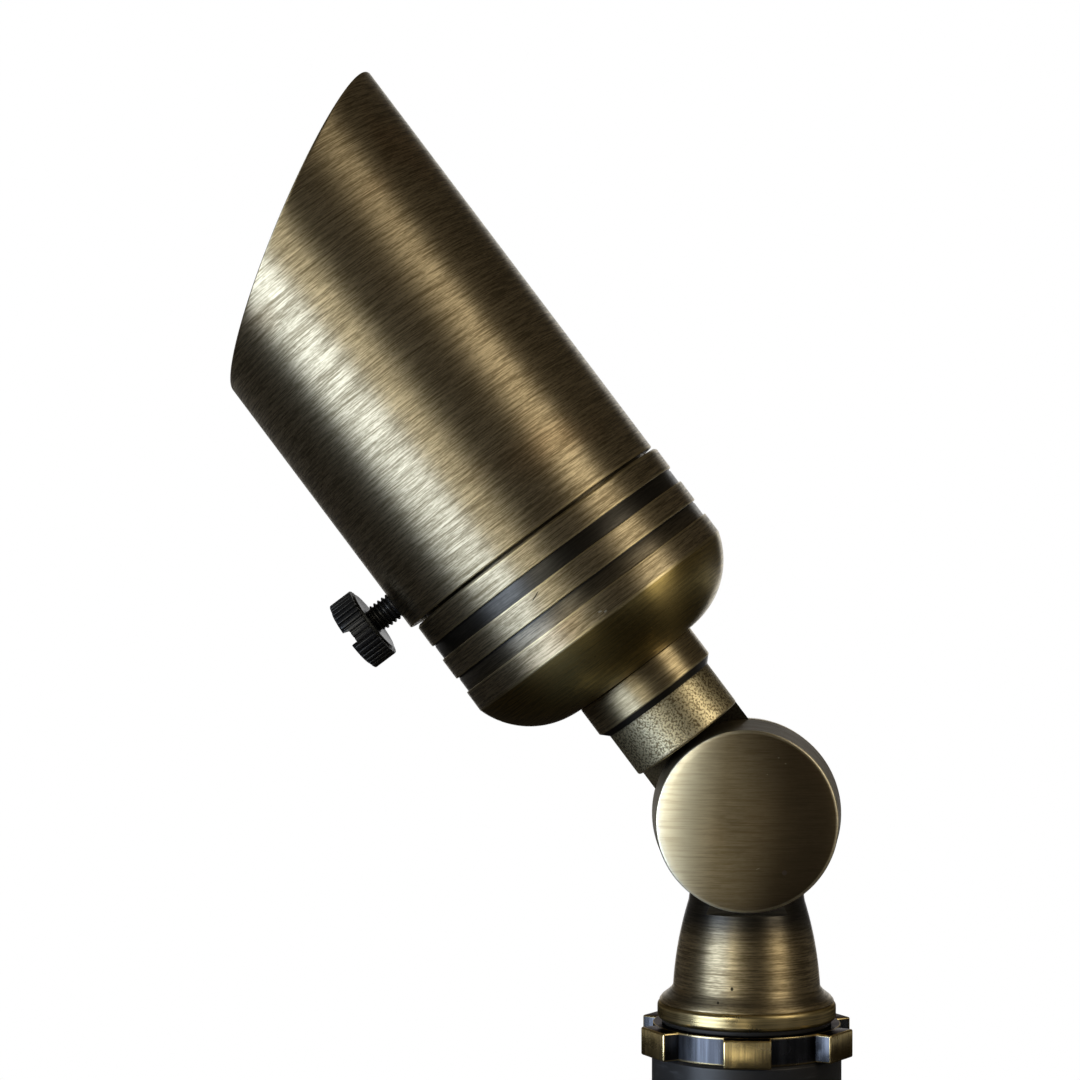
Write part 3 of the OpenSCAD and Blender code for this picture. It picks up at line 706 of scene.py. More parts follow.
@dataclass(frozen=True)
class MachinedBrass(Finish):
    """Dark machined brass: tool marks, bright on its rubbed faces and edges."""

    bright: Triple = (0.085, 0.09, 0.104)
    worn_and_highlight: Triple = (1.0, 0.81, 0.42)
    roughness: float = 0.24
    mark_rates: Triple = (900.0, 900.0, 40.0)
    rim_tint: tuple[float, float, float, float] = (0.30, 0.28, 0.27, 1.0)

    def paint(self, sheet: Sheet) -> None:
        """Wires the material on its sheet."""
        wear_and_highlight, painted_shade, warm = sheet.patina()
        marks = sheet.noise(sheet.stretch(sheet.places, self.mark_rates), detail=2.0, rough=0.6)
        clouds = sheet.noise(sheet.places, scale=120.0, detail=3.0)
        level = sheet.span(sheet.total((marks, 0.6), (clouds, 0.4)), 0.35, 0.65)
        colour = sheet.tone(level, self.bright, 0.45)
        colour = sheet.mix(warm, colour, sheet.tone(level, self.worn_and_highlight, 0.55))
        # Painted shade on the ring's top and on the lugs' tops and bottoms; then edges rubbed
        # bright, partly a painted highlight.
        colour = sheet.mix(painted_shade, colour, (0.05, 0.052, 0.06, 1))
        colour = sheet.mix(wear_and_highlight, colour, (*self.worn_and_highlight, 1))
        rough = sheet.span(clouds, 0.3, 0.7, self.roughness - 0.05, self.roughness + 0.08)
        sheet.set(Base_Color=colour, Metallic=1.0, Roughness=rough, Specular_Tint=self.rim_tint)
        sheet.bump(marks, 0.25, 0.00005)


@dataclass(frozen=True)
class SatinBlack(Finish):
    """Black plastic, rubber or paint with a faint grain and a few scuffs."""

    colour: Triple = (0.016, 0.016, 0.018)
    scuff: Triple = (0.07, 0.075, 0.085)
    roughness: float = 0.38
    scuff_rates: Triple = (120.0, 120.0, 900.0)
    grain: float = 0.3

    def paint(self, sheet: Sheet) -> None:
        """Wires the material on its sheet."""
        scratches = sheet.noise(sheet.stretch(sheet.places, self.scuff_rates), detail=4.0,
                                rough=0.65)
        clouds = sheet.noise(sheet.places, scale=90.0, detail=3.0)
        share = sheet.math("MULTIPLY", sheet.span(scratches, 0.52, 0.75),
                           sheet.span(clouds, 0.4, 0.65))
        colour = sheet.mix(share, (*self.colour, 1), (*self.scuff, 1))
        rough = sheet.span(clouds, 0.3, 0.7, self.roughness - 0.06, self.roughness + 0.1)
        sheet.set(Base_Color=colour, Roughness=rough)
        sheet.bump(sheet.noise(sheet.places, scale=3500.0, detail=2.0), self.grain, 0.00004)


@dataclass(frozen=True)
class PlainMetal(Finish):
    """Plated or mirror metal with a faint variation."""

    colour: Triple = (0.62, 0.62, 0.63)
    roughness: float = 0.28

    def paint(self, sheet: Sheet) -> None:
        """Wires the material on its sheet."""
        clouds = sheet.noise(sheet.places, scale=300.0, detail=3.0)
        rough = sheet.span(clouds, 0.3, 0.7, self.roughness - 0.04, self.roughness + 0.04)
        sheet.set(Base_Color=sheet.tone(clouds, self.colour, 0.8), Metallic=1.0, Roughness=rough)


@dataclass(frozen=True)
class Ceramic(Finish):
    """Unglazed white ceramic with a fine tooth."""

    colour: Triple = (0.80, 0.77, 0.70)

    def paint(self, sheet: Sheet) -> None:
        """Wires the material on its sheet."""
        tooth = sheet.noise(sheet.places, scale=1800.0, detail=3.0)
        sheet.set(Base_Color=sheet.tone(tooth, self.colour, 0.85), Roughness=0.7)
        sheet.bump(tooth, 0.4, 0.00003)


@dataclass(frozen=True)
class ClearGlass(Finish):
    """Clear glass with a faint dust."""

    colour: Triple = (0.95, 0.98, 0.98)

    def paint(self, sheet: Sheet) -> None:
        """Wires the material on its sheet."""
        dust = sheet.noise(sheet.places, scale=400.0, detail=4.0)
        rough = sheet.span(dust, 0.45, 0.8, 0.02, 0.12)
        sheet.set(Base_Color=(*self.colour, 1), Roughness=rough, Transmission_Weight=1.0, IOR=1.47)


@dataclass
class Rig:
    """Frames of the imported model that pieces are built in.

    Attributes:
        pivot: the tilt joint's place, in m.
        axis: direction of the head's axis.
        tilt: the head's lean towards -X, in radians.
    """

    pivot: Vector
    axis: Vector
    tilt: float

    @classmethod
    def load(cls) -> Rig:
        """Loads the frame and reads the head's axis from its joints.

        Returns:
            The rig.
        """
        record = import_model()["record"]
        joints = {j["name"]: j for j in record["behaviour"]["joints"]}
        axis = Vector(joints["cap_turn"]["axis"]).normalized()
        return cls(Vector(joints["tilt"]["pos_m"]), axis, math.atan2(-axis.x, axis.z))

    @property
    def head(self) -> Matrix:
        """From the head's frame, origin at the pivot and +Z along the head, to the model's."""
        return Matrix.Translation(self.pivot) @ Matrix.Rotation(-self.tilt, 4, "Y")

    @property
    def bolt(self) -> Matrix:
        """From the bolt's frame, +Z along +Y with its origin at the pivot, to the model's."""
        return Matrix.Translation(self.pivot) @ Matrix.Rotation(-math.pi / 2, 4, "X")

    def side(self, height: float) -> Matrix:
        """From the screw's frame, +Z outwards at a height in mm up the head, to the model's."""
        up = Matrix.Translation((0, 0, height * MM))
        return self.head @ up @ Matrix.Rotation(-math.pi / 2, 4, "Y")

    @property
    def upright(self) -> Matrix:
        """The model's own frame."""
        return Matrix.Identity(4)


@dataclass
class Finishes:
    """Every material of the part, made once."""

    rig: Rig
    made: dict[str, Material] = field(default_factory=dict)

    def __post_init__(self) -> None:
        """Makes the materials."""
        axis = tuple(self.rig.axis)
        pivot = tuple(v / MM for v in self.rig.pivot)
        white = (0.95, 0.93, 0.88)
        band_marks = (
            Mark((3.0, -30.7, 52.3), (0.45, 1.5, 0.18), (0, 15, 0), white, 0.8),
            Mark((3.9, -30.6, 51.7), (0.35, 1.5, 0.2), (0, -10, 0), white, 0.9),
            Mark((-5.4, -30.4, 62.4), (1.3, 1.5, 0.13), (0, -22, 0), (0.03, 0.025, 0.02), 0.9),
        )
        face_marks = (
            Mark((2.2, -11.0, -9.4), (0.5, 2.0, 0.09), (0, -25, 0), (0.75, 0.68, 0.5), 0.7),
            Mark((7.6, -11.0, -10.2), (0.55, 2.0, 0.55), (0, 0, 0), (0.34, 0.29, 0.25), 0.7),
            Mark((6.4, -11.0, 13.2), (0.2, 2.0, 0.15), (0, 0, 0), (0.8, 0.74, 0.58), 0.8),
            Mark((7.8, -11.0, 12.0), (0.2, 2.0, 0.13), (0, 0, 0), (0.8, 0.74, 0.58), 0.8),
            Mark((4.1, -11.0, 9.8), (0.17, 2.0, 0.12), (0, 0, 0), (0.75, 0.68, 0.5), 0.7),
            Mark((-3.05, -15.0, -33.35), (0.33, 1.5, 0.42), (0, 0, 0), (0.03, 0.026, 0.02), 0.95),
            Mark((-5.85, -15.2, -36.1), (0.28, 1.5, 0.3), (0, 0, 0), (0.05, 0.04, 0.03), 0.9),
        )
        kinds = (
            BrushedBrass("head_brushed", Brushing.ROUND_HEAD, axis, pivot, self.rig.tilt,
                         marks=band_marks),
            BrushedBrass("collar_brushed", Brushing.ROUND_HEAD, axis, pivot, self.rig.tilt,
                         contrast=0.8,
                         bright=(0.74, 0.63, 0.41), deep=(0.30, 0.24, 0.14)),
            BrushedBrass("knuckle_brushed", Brushing.LEVEL, (0.0, 0.0, 1.0), pivot, roughness=0.48,
                         bright=(0.80, 0.67, 0.43), deep=(0.27, 0.21, 0.12), contrast=0.95,
                         marks=face_marks),
            # The drum's face: a lighter copy of the knuckle brass, with a painted highlight towards
            # -X and its black as painted shade towards +X.
            BrushedBrass("face_brushed", Brushing.LEVEL, (0.0, 0.0, 1.0), pivot, roughness=0.39,
                         bright=(0.92, 0.82, 0.60), deep=(0.56, 0.46, 0.29), worn_and_highlight=(1.0, 0.95, 0.76),
                         black=(0.32, 0.25, 0.155), contrast=0.7, marks=face_marks),
            # The drum's side: a darker copy of the knuckle brass, as painted shade.
            BrushedBrass("drum_side", Brushing.ROUND_BOLT, (0.0, 1.0, 0.0), pivot, roughness=0.5,
                         spread=0.5,
                         bright=(0.30, 0.26, 0.19), deep=(0.15, 0.125, 0.085)),
            CastBrass("cast_neck"),
            MachinedBrass("lock_ring_machined"),
            MachinedBrass("washer_polished", bright=(0.72, 0.58, 0.30), roughness=0.3,
                          mark_rates=(60.0, 60.0, 3500.0)),
            SatinBlack("screw_black", colour=(0.010, 0.010, 0.011), scuff=(0.022, 0.022, 0.024),
                       roughness=0.36, grain=0.12),
            SatinBlack("stake_black", roughness=0.42),
            SatinBlack("rubber_black", colour=(0.012, 0.012, 0.012), scuff=(0.03, 0.03, 0.03),
                       roughness=0.6),
            PlainMetal("steel_plain"),
            PlainMetal("reflector_mirror", colour=(0.86, 0.87, 0.89), roughness=0.08),
            Ceramic("ceramic_white"),
            ClearGlass("glass_clear"),
        )
        for kind in kinds:
            self.made[kind.name] = kind.make()

    def __getitem__(self, name: str) -> Material:
        """The material with this name."""
        return self.made[name]


class Assembly:
    """Base of the sub-assemblies: dresses each piece and puts it on its body."""

    def __init__(self, rig: Rig, finishes: Finishes) -> None:
        """Keeps what every sub-assembly needs.

        Args:
            rig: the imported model.
            finishes: the part's materials.
        """
        self.rig = rig
        self.finishes = finishes

    def fit(self, piece: Piece, finish: str, slot: str, body: Body, *nodes: str) -> Piece:
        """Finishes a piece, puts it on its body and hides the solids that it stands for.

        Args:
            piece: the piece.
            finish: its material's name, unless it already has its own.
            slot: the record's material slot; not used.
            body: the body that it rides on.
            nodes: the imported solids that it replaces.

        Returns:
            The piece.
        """
        if not piece.data.materials:
            piece.data.materials.append(self.finishes[finish])
        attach(piece, body.value)
        if nodes:
            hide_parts(*nodes)
        log.info("%s: %d faces on %s", piece.name, len(piece.data.polygons), body.value)
        return piece


@dataclass
class HeadSizes:
    """Sizes of the head, in mm, with heights along its axis from the pivot."""

    collar_r: float = 14.15
    collar_s: float = 30.3
    dome_s: float = 38.4
    flat_r: float = 14.2
    housing_r: float = 30.9
    crease_s: float = 50.7
    grooves: tuple[tuple[float, float], ...] = ((55.4, 58.85), (63.75, 67.2))
    # Painted shade in the two grooves.
    groove_shade: tuple[float, float] = (0.62, 0.95)
    groove_depth: float = 0.45
    top_s: float = 72.4
    bore_r: float = 28.06
    bore_s: float = 62.3
    cavity_r: float = 26.0
    dome_wall: float = 4.0
    nipple_r: float = 6.9
    neck_r: float = 12.6
    cap_r: float = 28.0
    cap_inner_r: float = 25.4
    cap_s: float = 62.4
    cap_top_s: float = 115.5
    ledge_r: float = 24.0
    ledge_s: float = 107.0
    lens_seat_s: float = 109.5
    lens_seat_r: float = 26.2
    lens_r: float = 26.0
    lens_s: float = 110.5
    lens_top_s: float = 113.7
    retainer_top_s: float = 115.0
    shroud_r: float = 31.2
    shroud_inner_r: float = 29.2
    shroud_shift: float = 0.9
    shroud_s: float = 73.0
    shroud_len: float = 61.9
    mouth_angle: float = 30.0
    mouth_round: float = 0.4
    thumb_s: float = 78.9
    tap_r: float = 3.06
    gland_s: float = 66.3
    gland_w: float = 2.2
    gland_depth: float = 1.3
    retainer_w: float = 1.4
    retainer_split: float = 3.0


class Head(Assembly):
    """Turned housing, collar, lens cap with its lens, and the glare shroud."""

    sizes = HeadSizes()

    def build(self) -> None:
        """Builds every piece of the head."""
        self.collar()
        self.housing()
        self.lens_cap()
        self.lens()
        self.shroud()

    def collar(self) -> None:
        """Smooth collar with painted shade on the chamfer under it."""
        z = self.sizes
        chamfer = z.collar_r - z.neck_r
        corners = [
            Corner(z.nipple_r, z.collar_s, painted_shade=1.0),
            Corner(z.neck_r, z.collar_s, painted_shade=1.0),
            Corner(z.collar_r, z.collar_s + chamfer, round=0.3, wear_and_highlight=0.85),
            Corner(z.collar_r, z.dome_s - 0.25, round=0.15, wear_and_highlight=0.15, painted_shade=0.7),
            Corner(z.collar_r - 0.25, z.dome_s, painted_shade=1.0),
            Corner(z.nipple_r, z.dome_s, painted_shade=1.0),
        ]
        piece = turned("collar", corners, self.rig.head, steps=160)
        self.fit(piece, "collar_brushed", "head_brass", Body.HEAD, "neck_collar")

    def housing(self) -> None:
        """Domed cup with three bands and two grooves."""
        z = self.sizes
        rise = z.crease_s - z.dome_s
        arc_r = ((z.housing_r - z.flat_r) ** 2 + rise**2) / (2 * rise)
        centre = (z.flat_r, z.dome_s + arc_r)
        end = -math.degrees(math.acos((z.housing_r - z.flat_r) / arc_r))
        dome = arc_corners(centre, arc_r, -90.0, end, 22, warm=1.0)
        corners = [Corner(z.nipple_r, z.dome_s, warm=1.0), *dome[:-1]]
        corners.append(Corner(z.housing_r, z.crease_s, round=0.5, wear_and_highlight=0.8))
        floor_r = z.housing_r - z.groove_depth
        # Grooves with painted shade, darkest at their upper end.
        for (low, high), painted_shade in zip(z.grooves, z.groove_shade):
            corners += [
                Corner(z.housing_r, low, round=0.2, wear_and_highlight=0.6, painted_shade=painted_shade),
                Corner(floor_r, low, painted_shade=painted_shade),
                Corner(floor_r, high - 0.5, painted_shade=1.0),
                Corner(floor_r - 0.12, high - 0.3, painted_shade=1.0),
                Corner(floor_r - 0.12, high, painted_shade=1.0),
                Corner(z.housing_r, high, round=0.25, wear_and_highlight=0.95),
            ]
        cavity_arc_r = arc_r - z.dome_wall
        cavity_end = -math.degrees(math.acos((z.cavity_r - z.flat_r) / cavity_arc_r))
        cavity = arc_corners(centre, cavity_arc_r, cavity_end, -90.0, 12)
        corners += [
            Corner(z.housing_r, z.top_s - 0.45, round=0.2, wear_and_highlight=0.6),
            # Painted shade on the top face and in the bore, under the shroud.
            Corner(z.housing_r - 0.45, z.top_s, round=0.15, wear_and_highlight=0.25, painted_shade=0.9),
            Corner(z.bore_r, z.top_s, painted_shade=0.9),
            Corner(z.bore_r, z.bore_s, painted_shade=0.9),
            Corner(z.cavity_r, z.bore_s),
            *cavity,
            Corner(z.nipple_r, z.dome_s + z.dome_wall),
        ]
        piece = turned("housing_turned", corners, self.rig.head, steps=256)
        self.fit(piece, "head_brushed", "head_brass", Body.HEAD, "housing")

    def lens_cap(self) -> None:
        """Cap that carries the lens, with its gland for the seal."""
        z = self.sizes
        gland_r = z.cap_r - z.gland_depth
        corners = [
            # Painted shade inside the cap and on its side under the shroud.
            Corner(z.cap_inner_r, z.cap_s, painted_shade=0.6),
            Corner(z.cap_r, z.cap_s, round=0.3),
            Corner(z.cap_r, z.gland_s), Corner(gland_r, z.gland_s),
            Corner(gland_r, z.gland_s + z.gland_w),
            Corner(z.cap_r, z.gland_s + z.gland_w, painted_shade=1.0),
            Corner(z.cap_r, z.shroud_s + 4.0), Corner(z.cap_r, z.cap_top_s, round=0.3, wear_and_highlight=0.7),
            Corner(z.lens_seat_r, z.cap_top_s, round=0.15, wear_and_highlight=0.4),
            Corner(z.lens_seat_r, z.lens_seat_s), Corner(z.ledge_r, z.lens_seat_s),
            Corner(z.ledge_r, z.ledge_s), Corner(z.cap_inner_r, z.ledge_s, painted_shade=0.6),
        ]
        piece = turned("cap_turned", corners, self.rig.head)
        self.fit(piece, "head_brushed", "head_brass", Body.CAP, "lens_cap")

    def lens(self) -> None:
        """Tempered lens under its split ring."""
        z = self.sizes
        corners = [
            Corner(0.0, z.lens_s), Corner(z.lens_r, z.lens_s, round=0.4),
            Corner(z.lens_r, z.lens_top_s, round=0.4), Corner(0.0, z.lens_top_s),
        ]
        piece = turned("lens_glass", corners, self.rig.head, steps=128, closed=False)
        self.fit(piece, "glass_clear", "clear_glass", Body.CAP, "lens")
        ring_in, ring_out = z.lens_r - z.retainer_w, z.lens_seat_r - 0.1
        half = z.retainer_split / 2
        corners = band(ring_in, ring_out, z.lens_top_s, z.retainer_top_s, 0.2)
        piece = turned("retaining_ring", corners, self.rig.head, steps=128)
        gap = block("ring_gap", (0.0, -half, z.lens_top_s - 1),
                    (z.cap_r, half, z.retainer_top_s + 1),
                    self.rig.head)
        cut(piece, gap)
        self.fit(piece, "steel_plain", "steel", Body.CAP, "lens_retaining_ring")

    def shroud(self) -> None:
        """Glare shroud with its slanted mouth and the tapped hole."""
        z = self.sizes
        slope = math.tan(math.radians(z.mouth_angle))

        def profile(angle: float) -> list[Dot]:
            reach = math.cos(angle)
            low = z.shroud_s + z.shroud_len
            outer = low + (z.shroud_r * reach + z.shroud_r) * slope
            inner = low + (z.shroud_inner_r * reach + z.shroud_r) * slope
            corners = [
                # Painted shade inside the shroud and on the inner edge of its mouth.
                Corner(z.shroud_inner_r, z.shroud_s, round=0.15, painted_shade=0.5),
                Corner(z.shroud_r, z.shroud_s, round=0.3, wear_and_highlight=0.75),
                Corner(z.shroud_r, outer, round=z.mouth_round, wear_and_highlight=0.12, steps=6),
                Corner(z.shroud_inner_r, inner, round=z.mouth_round, wear_and_highlight=0.3, painted_shade=0.6, steps=6),
            ]
            return section(corners, True)

        place = self.rig.head @ Matrix.Translation((-z.shroud_shift * MM, 0.0, 0.0))
        piece = lathe("shroud_tube", profile, place, steps=256)
        drill = turned("drill", band(0, z.tap_r, 20, 40), self.rig.side(z.thumb_s), steps=48,
                       closed=False)
        cut(piece, drill)
        self.fit(piece, "head_brushed", "head_brass", Body.SHROUD, "shroud")


@dataclass
class ScrewSizes:
    """Sizes of the thumb screw, in mm, from the head's axis outwards."""

    tip: float = 28.3
    head: float = 37.5
    thickness: float = 6.1
    radius: float = 8.0
    ribs: int = 36
    rib_depth: float = 0.55
    bevel: float = 0.8
    slot_w: float = 3.1
    slot_depth: float = 1.5
    shank_r: float = 2.97
    root_r: float = 2.42
    pitch: float = 1.0
    flank_top: float = 1.35
    flank_slope: float = 2.9
    steps_per_pitch: int = 10


class ThumbScrew(Assembly):
    """Slotted, ribbed thumb screw with its thread."""

    sizes = ScrewSizes()

    def build(self) -> None:
        """Builds the screw as one piece."""
        z = self.sizes
        place = self.rig.side(Head.sizes.thumb_s)
        black = self.finishes["screw_black"]
        root = z.radius - z.rib_depth
        top = z.head + z.thickness
        disc = turned("screw_disc", [
            Corner(0, z.head), Corner(root - z.bevel, z.head, round=0.2),
            Corner(root, z.head + z.bevel, round=0.2), Corner(root, top - z.bevel, round=0.2),
            Corner(root - z.bevel, top, round=0.2), Corner(0, top),
        ], place, steps=144, closed=False)
        rib = self.rib()
        PolarCopies(black).apply(rib, z.ribs, 0.0, place)
        half = z.slot_w / 2
        for part in (disc, rib):
            slot = block("slot", (-half, -z.radius - 1, top - z.slot_depth),
                         (half, z.radius + 1, top + 1),
                         place)
            cut(part, slot)
        piece = join("thumb_screw_turned", [disc, rib, self.shank(place)])
        undress(piece.data)
        smooth(piece.data, math.radians(40))
        self.fit(piece, "screw_black", "black_screw", Body.THUMB_SCREW, "thumb_screw")

    def rib(self) -> Piece:
        """One rib: a flat-topped bar with rounded ends, along the screw's axis."""
        z = self.sizes
        pitch_w = 2 * math.pi * z.radius / z.ribs
        low = z.head + z.bevel / 2
        high = z.head + z.thickness - z.bevel / 2
        half = pitch_w * 0.37
        return block("screw_ribs", (z.radius - z.rib_depth - 0.5, -half, low),
                     (z.radius, half, high),
                     Matrix.Identity(4), bevel=0.24)

    def shank(self, place: Matrix) -> Piece:
        """Threaded shank: its radius follows a helix.

        Args:
            place: from the screw's frame to the model's.

        Returns:
            The shank.
        """
        z = self.sizes
        rows = int((z.head + 0.5 - z.tip) / z.pitch * z.steps_per_pitch)

        def profile(angle: float) -> list[Dot]:
            dots = [Dot(0.0, z.tip, 0, 0, 0), Dot(z.root_r - 0.3, z.tip, 0, 0, 0)]
            for i in range(rows + 1):
                along = z.tip + 0.3 + (z.head + 0.2 - z.tip) * i / rows
                turn = (along / z.pitch - angle / (2 * math.pi)) % 1.0
                rise = clamp(z.flank_top - abs(turn - 0.5) * z.flank_slope)
                run_in = clamp((along - z.tip) / z.pitch)
                run_out = clamp((z.head - 0.25 - along) / (0.6 * z.pitch))
                r = z.root_r + (z.shank_r - z.root_r) * rise * run_in * run_out
                dots.append(Dot(r, along, 0, 0, 0))
            dots.append(Dot(0.0, z.head + 0.6, 0, 0, 0))
            return dots

        return lathe("screw_shank", profile, place, steps=48, closed=False)


@dataclass
class KnuckleSizes:
    """Sizes of the knuckle, in mm, from the pivot.

    The flare's points are given as radius, height over the foot and painted shade.
    """

    drum_front: float = 10.0
    drum_back: float = 6.8
    face_r: float = 18.66
    back_r: float = 19.72
    crown: float = 1.4
    foot_z: float = -38.0
    foot_r: float = 18.0
    foot_edge: float = 0.35
    flare: tuple[Triple, ...] = ((17.5, 1.0, 0.45), (16.85, 1.5, 0.45), (16.2, 2.0, 0.4),
                                 (15.65, 2.55, 0.2))
    flare_h: float = 3.2
    waist_r: float = 15.2
    top_r: float = 12.0
    side_h: float = 20.84
    bow: float = 0.55
    ledge_z: float = -19.06
    rear_ledge_z: float = -20.3
    front_step: float = 0.6
    stem_r: float = 10.48
    stem_len: float = 27.3
    disc_y: float = 7.1
    disc_t: float = 8.4
    disc_r: float = 19.8
    disc_back_r: float = 19.404
    arm_r: float = 14.15
    arm_top_s: float = 20.3
    neck_r: float = 12.6
    neck_top_s: float = 30.3
    taper: float = 1.8
    nipple_r: float = 6.8
    nipple_bore_r: float = 4.25
    nipple_top_s: float = 49.0
    bolt_r: float = 3.0
    bolt_hole_r: float = 3.1
    seat_gap: float = 0.02
    bolt_head_r: float = 4.98
    counterbore_r: float = 5.78
    counterbore_y: float = 10.5
    washer_t: float = 1.2
    washer_split: float = 0.8
    bolt_head_h: float = 3.6
    bolt_end: float = -3.0
    bolt_hole_depth: float = 10.0
    hexagon_r: float = 2.88
    hexagon_depth: float = 2.16
    wireway_r: float = 5.5
    cone_top: float = -9.8
    crown_share: float = 0.97


class Knuckle(Assembly):
    """Drum and cone below, rear disc and cast neck above, and the bolt between them."""

    sizes = KnuckleSizes()

    def build(self) -> None:
        """Builds every piece of the knuckle."""
        self.lower()
        self.upper()
        self.bolt()

    def lower(self) -> None:
        """Plain-faced drum on a milled cone with a flared foot."""
        z = self.sizes
        drum = turned("drum", [
            Corner(0.0, -z.drum_front - z.crown),
            Corner(z.face_r * 0.5, -z.drum_front - z.crown * 0.875),
            Corner(z.face_r, -z.drum_front, round=0.5, wear_and_highlight=0.8),
            # Painted shade on the drum's back and in its bolt hole.
            Corner(z.back_r, z.drum_back, round=0.15, painted_shade=0.8),
            Corner(z.bolt_hole_r, z.drum_back, painted_shade=0.8),
            Corner(z.bolt_hole_r, z.drum_back - z.bolt_hole_depth, painted_shade=0.8),
            Corner(0.0, z.drum_back - z.bolt_hole_depth),
        ], self.rig.bolt, steps=224, closed=False)
        self.crown_face(drum)
        cone = self.cone()
        drum.data.materials.append(self.finishes["face_brushed"])
        drum.data.materials.append(self.finishes["drum_side"])
        front = self.rig.pivot.y - (z.drum_front - 0.5) * MM
        for face in drum.data.polygons:
            face.material_index = 0 if face.center.y < front else 1
        cone.data.materials.append(self.finishes["knuckle_brushed"])
        piece = join("knuckle_lower", [drum, cone])
        smooth(piece.data)
        self.fit(piece, "knuckle_brushed", "knuckle_brass", Body.BASE, "lower_knuckle")

    def crown_face(self, drum: Piece) -> None:
        """Crowns the drum's face by adding rings across it, and paints a highlight on it towards -X
        and shade towards +X.
        """
        z = self.sizes
        bm = bmesh.new()
        bm.from_mesh(drum.data)
        layer = bm.verts.layers.float_color["patina"]
        pivot = self.rig.pivot
        face_y = pivot.y - (z.drum_front - 0.1) * MM

        def reach(vert: bmesh.types.BMVert) -> float:
            return math.hypot(vert.co.x - pivot.x, vert.co.z - pivot.z) / (z.face_r * MM)

        flat = [v for v in bm.verts if v.co.y < face_y and reach(v) < z.crown_share]
        edges = {edge for vert in flat for edge in vert.link_edges
                 if abs(reach(edge.verts[0]) - reach(edge.verts[1])) > 0.1}
        radial = [edge for edge in edges if edge.verts[0] in flat and edge.verts[1] in flat]
        bmesh.ops.subdivide_edges(bm, edges=radial, cuts=6, use_grid_fill=False)
        for vert in bm.verts:
            if vert.co.y > face_y or reach(vert) > z.crown_share:
                continue
            vert.co.y = pivot.y - (z.drum_front + z.crown * (1 - reach(vert) ** 3)) * MM
            across, above = vert.co.x - pivot.x, vert.co.z - pivot.z
            # Painted highlight towards -X (bright) and painted shade towards +X (dark), tilted a
            # little with height.
            side = across / (z.face_r * MM) - 0.12 * above / (z.face_r * MM)
            bright = clamp((-0.30 - side) / 0.34)
            dark = clamp((side + 0.75) / 1.15)
            vert[layer] = (bright, dark, 0.0, 1.0)
        bm.to_mesh(drum.data)
        bm.free()
        smooth(drum.data)

    def cone(self) -> Piece:
        """Bell-shaped cone on its flared foot and hollow stem, milled flat under the drum."""
        z = self.sizes
        steps = 14
        corners = [
            Corner(z.wireway_r, z.foot_z - z.stem_len),
            Corner(z.stem_r, z.foot_z - z.stem_len, round=0.4),
            Corner(z.stem_r, z.foot_z, painted_shade=1.0), Corner(z.foot_r, z.foot_z, round=0.1, wear_and_highlight=0.1),
            Corner(z.foot_r, z.foot_z + z.foot_edge, round=0.1, wear_and_highlight=0.2),
            *(Corner(r, z.foot_z + up, painted_shade=painted_shade) for r, up, painted_shade in z.flare),
        ]
        for i in range(steps + 1):
            t = i / steps
            r = z.waist_r + (z.top_r - z.waist_r) * t + 4 * z.bow * t * (1 - t)
            # Painted shade under the drum, darkest at the cone's top.
            shade = 0.95 * clamp((t - 0.5) / 0.27)
            corners.append(Corner(r, z.foot_z + z.flare_h + (z.side_h - z.flare_h) * t, painted_shade=shade))
        corners += [Corner(z.top_r - 1.0, z.cone_top), Corner(z.wireway_r, z.cone_top)]
        at = Matrix.Translation(self.rig.pivot)
        cone = turned("cone", corners, at)
        wide, above = 30.0, 5.0
        front_y = -z.drum_front + z.front_step
        front = block("front_mill", (-wide, -wide, z.ledge_z), (wide, front_y, above), at, painted_shade=0.9)
        rear = block("rear_mill", (-wide, z.drum_back, z.rear_ledge_z), (wide, wide, above), at,
                     painted_shade=0.9)
        # The milled flats under the drum get painted shade.
        for mill in (front, rear):
            cut(cone, mill, painted_shade=0.95)
        return cone

    def upper(self) -> None:
        """Rear disc, offset arm, cast neck and threaded nipple."""
        z = self.sizes
        back = z.disc_y + z.disc_t
        disc = turned("disc", [
            # Painted shade in the bolt hole and the counterbore.
            Corner(z.bolt_hole_r, z.disc_y, painted_shade=0.6),
            Corner(z.disc_r, z.disc_y, round=0.3, wear_and_highlight=0.3),
            Corner(z.disc_back_r, back, round=0.6, wear_and_highlight=0.4),
            Corner(z.counterbore_r, back, round=0.25, wear_and_highlight=0.3, painted_shade=0.5),
            Corner(z.counterbore_r, z.counterbore_y, painted_shade=0.5),
            Corner(z.bolt_hole_r, z.counterbore_y, painted_shade=0.5),
        ], self.rig.bolt)
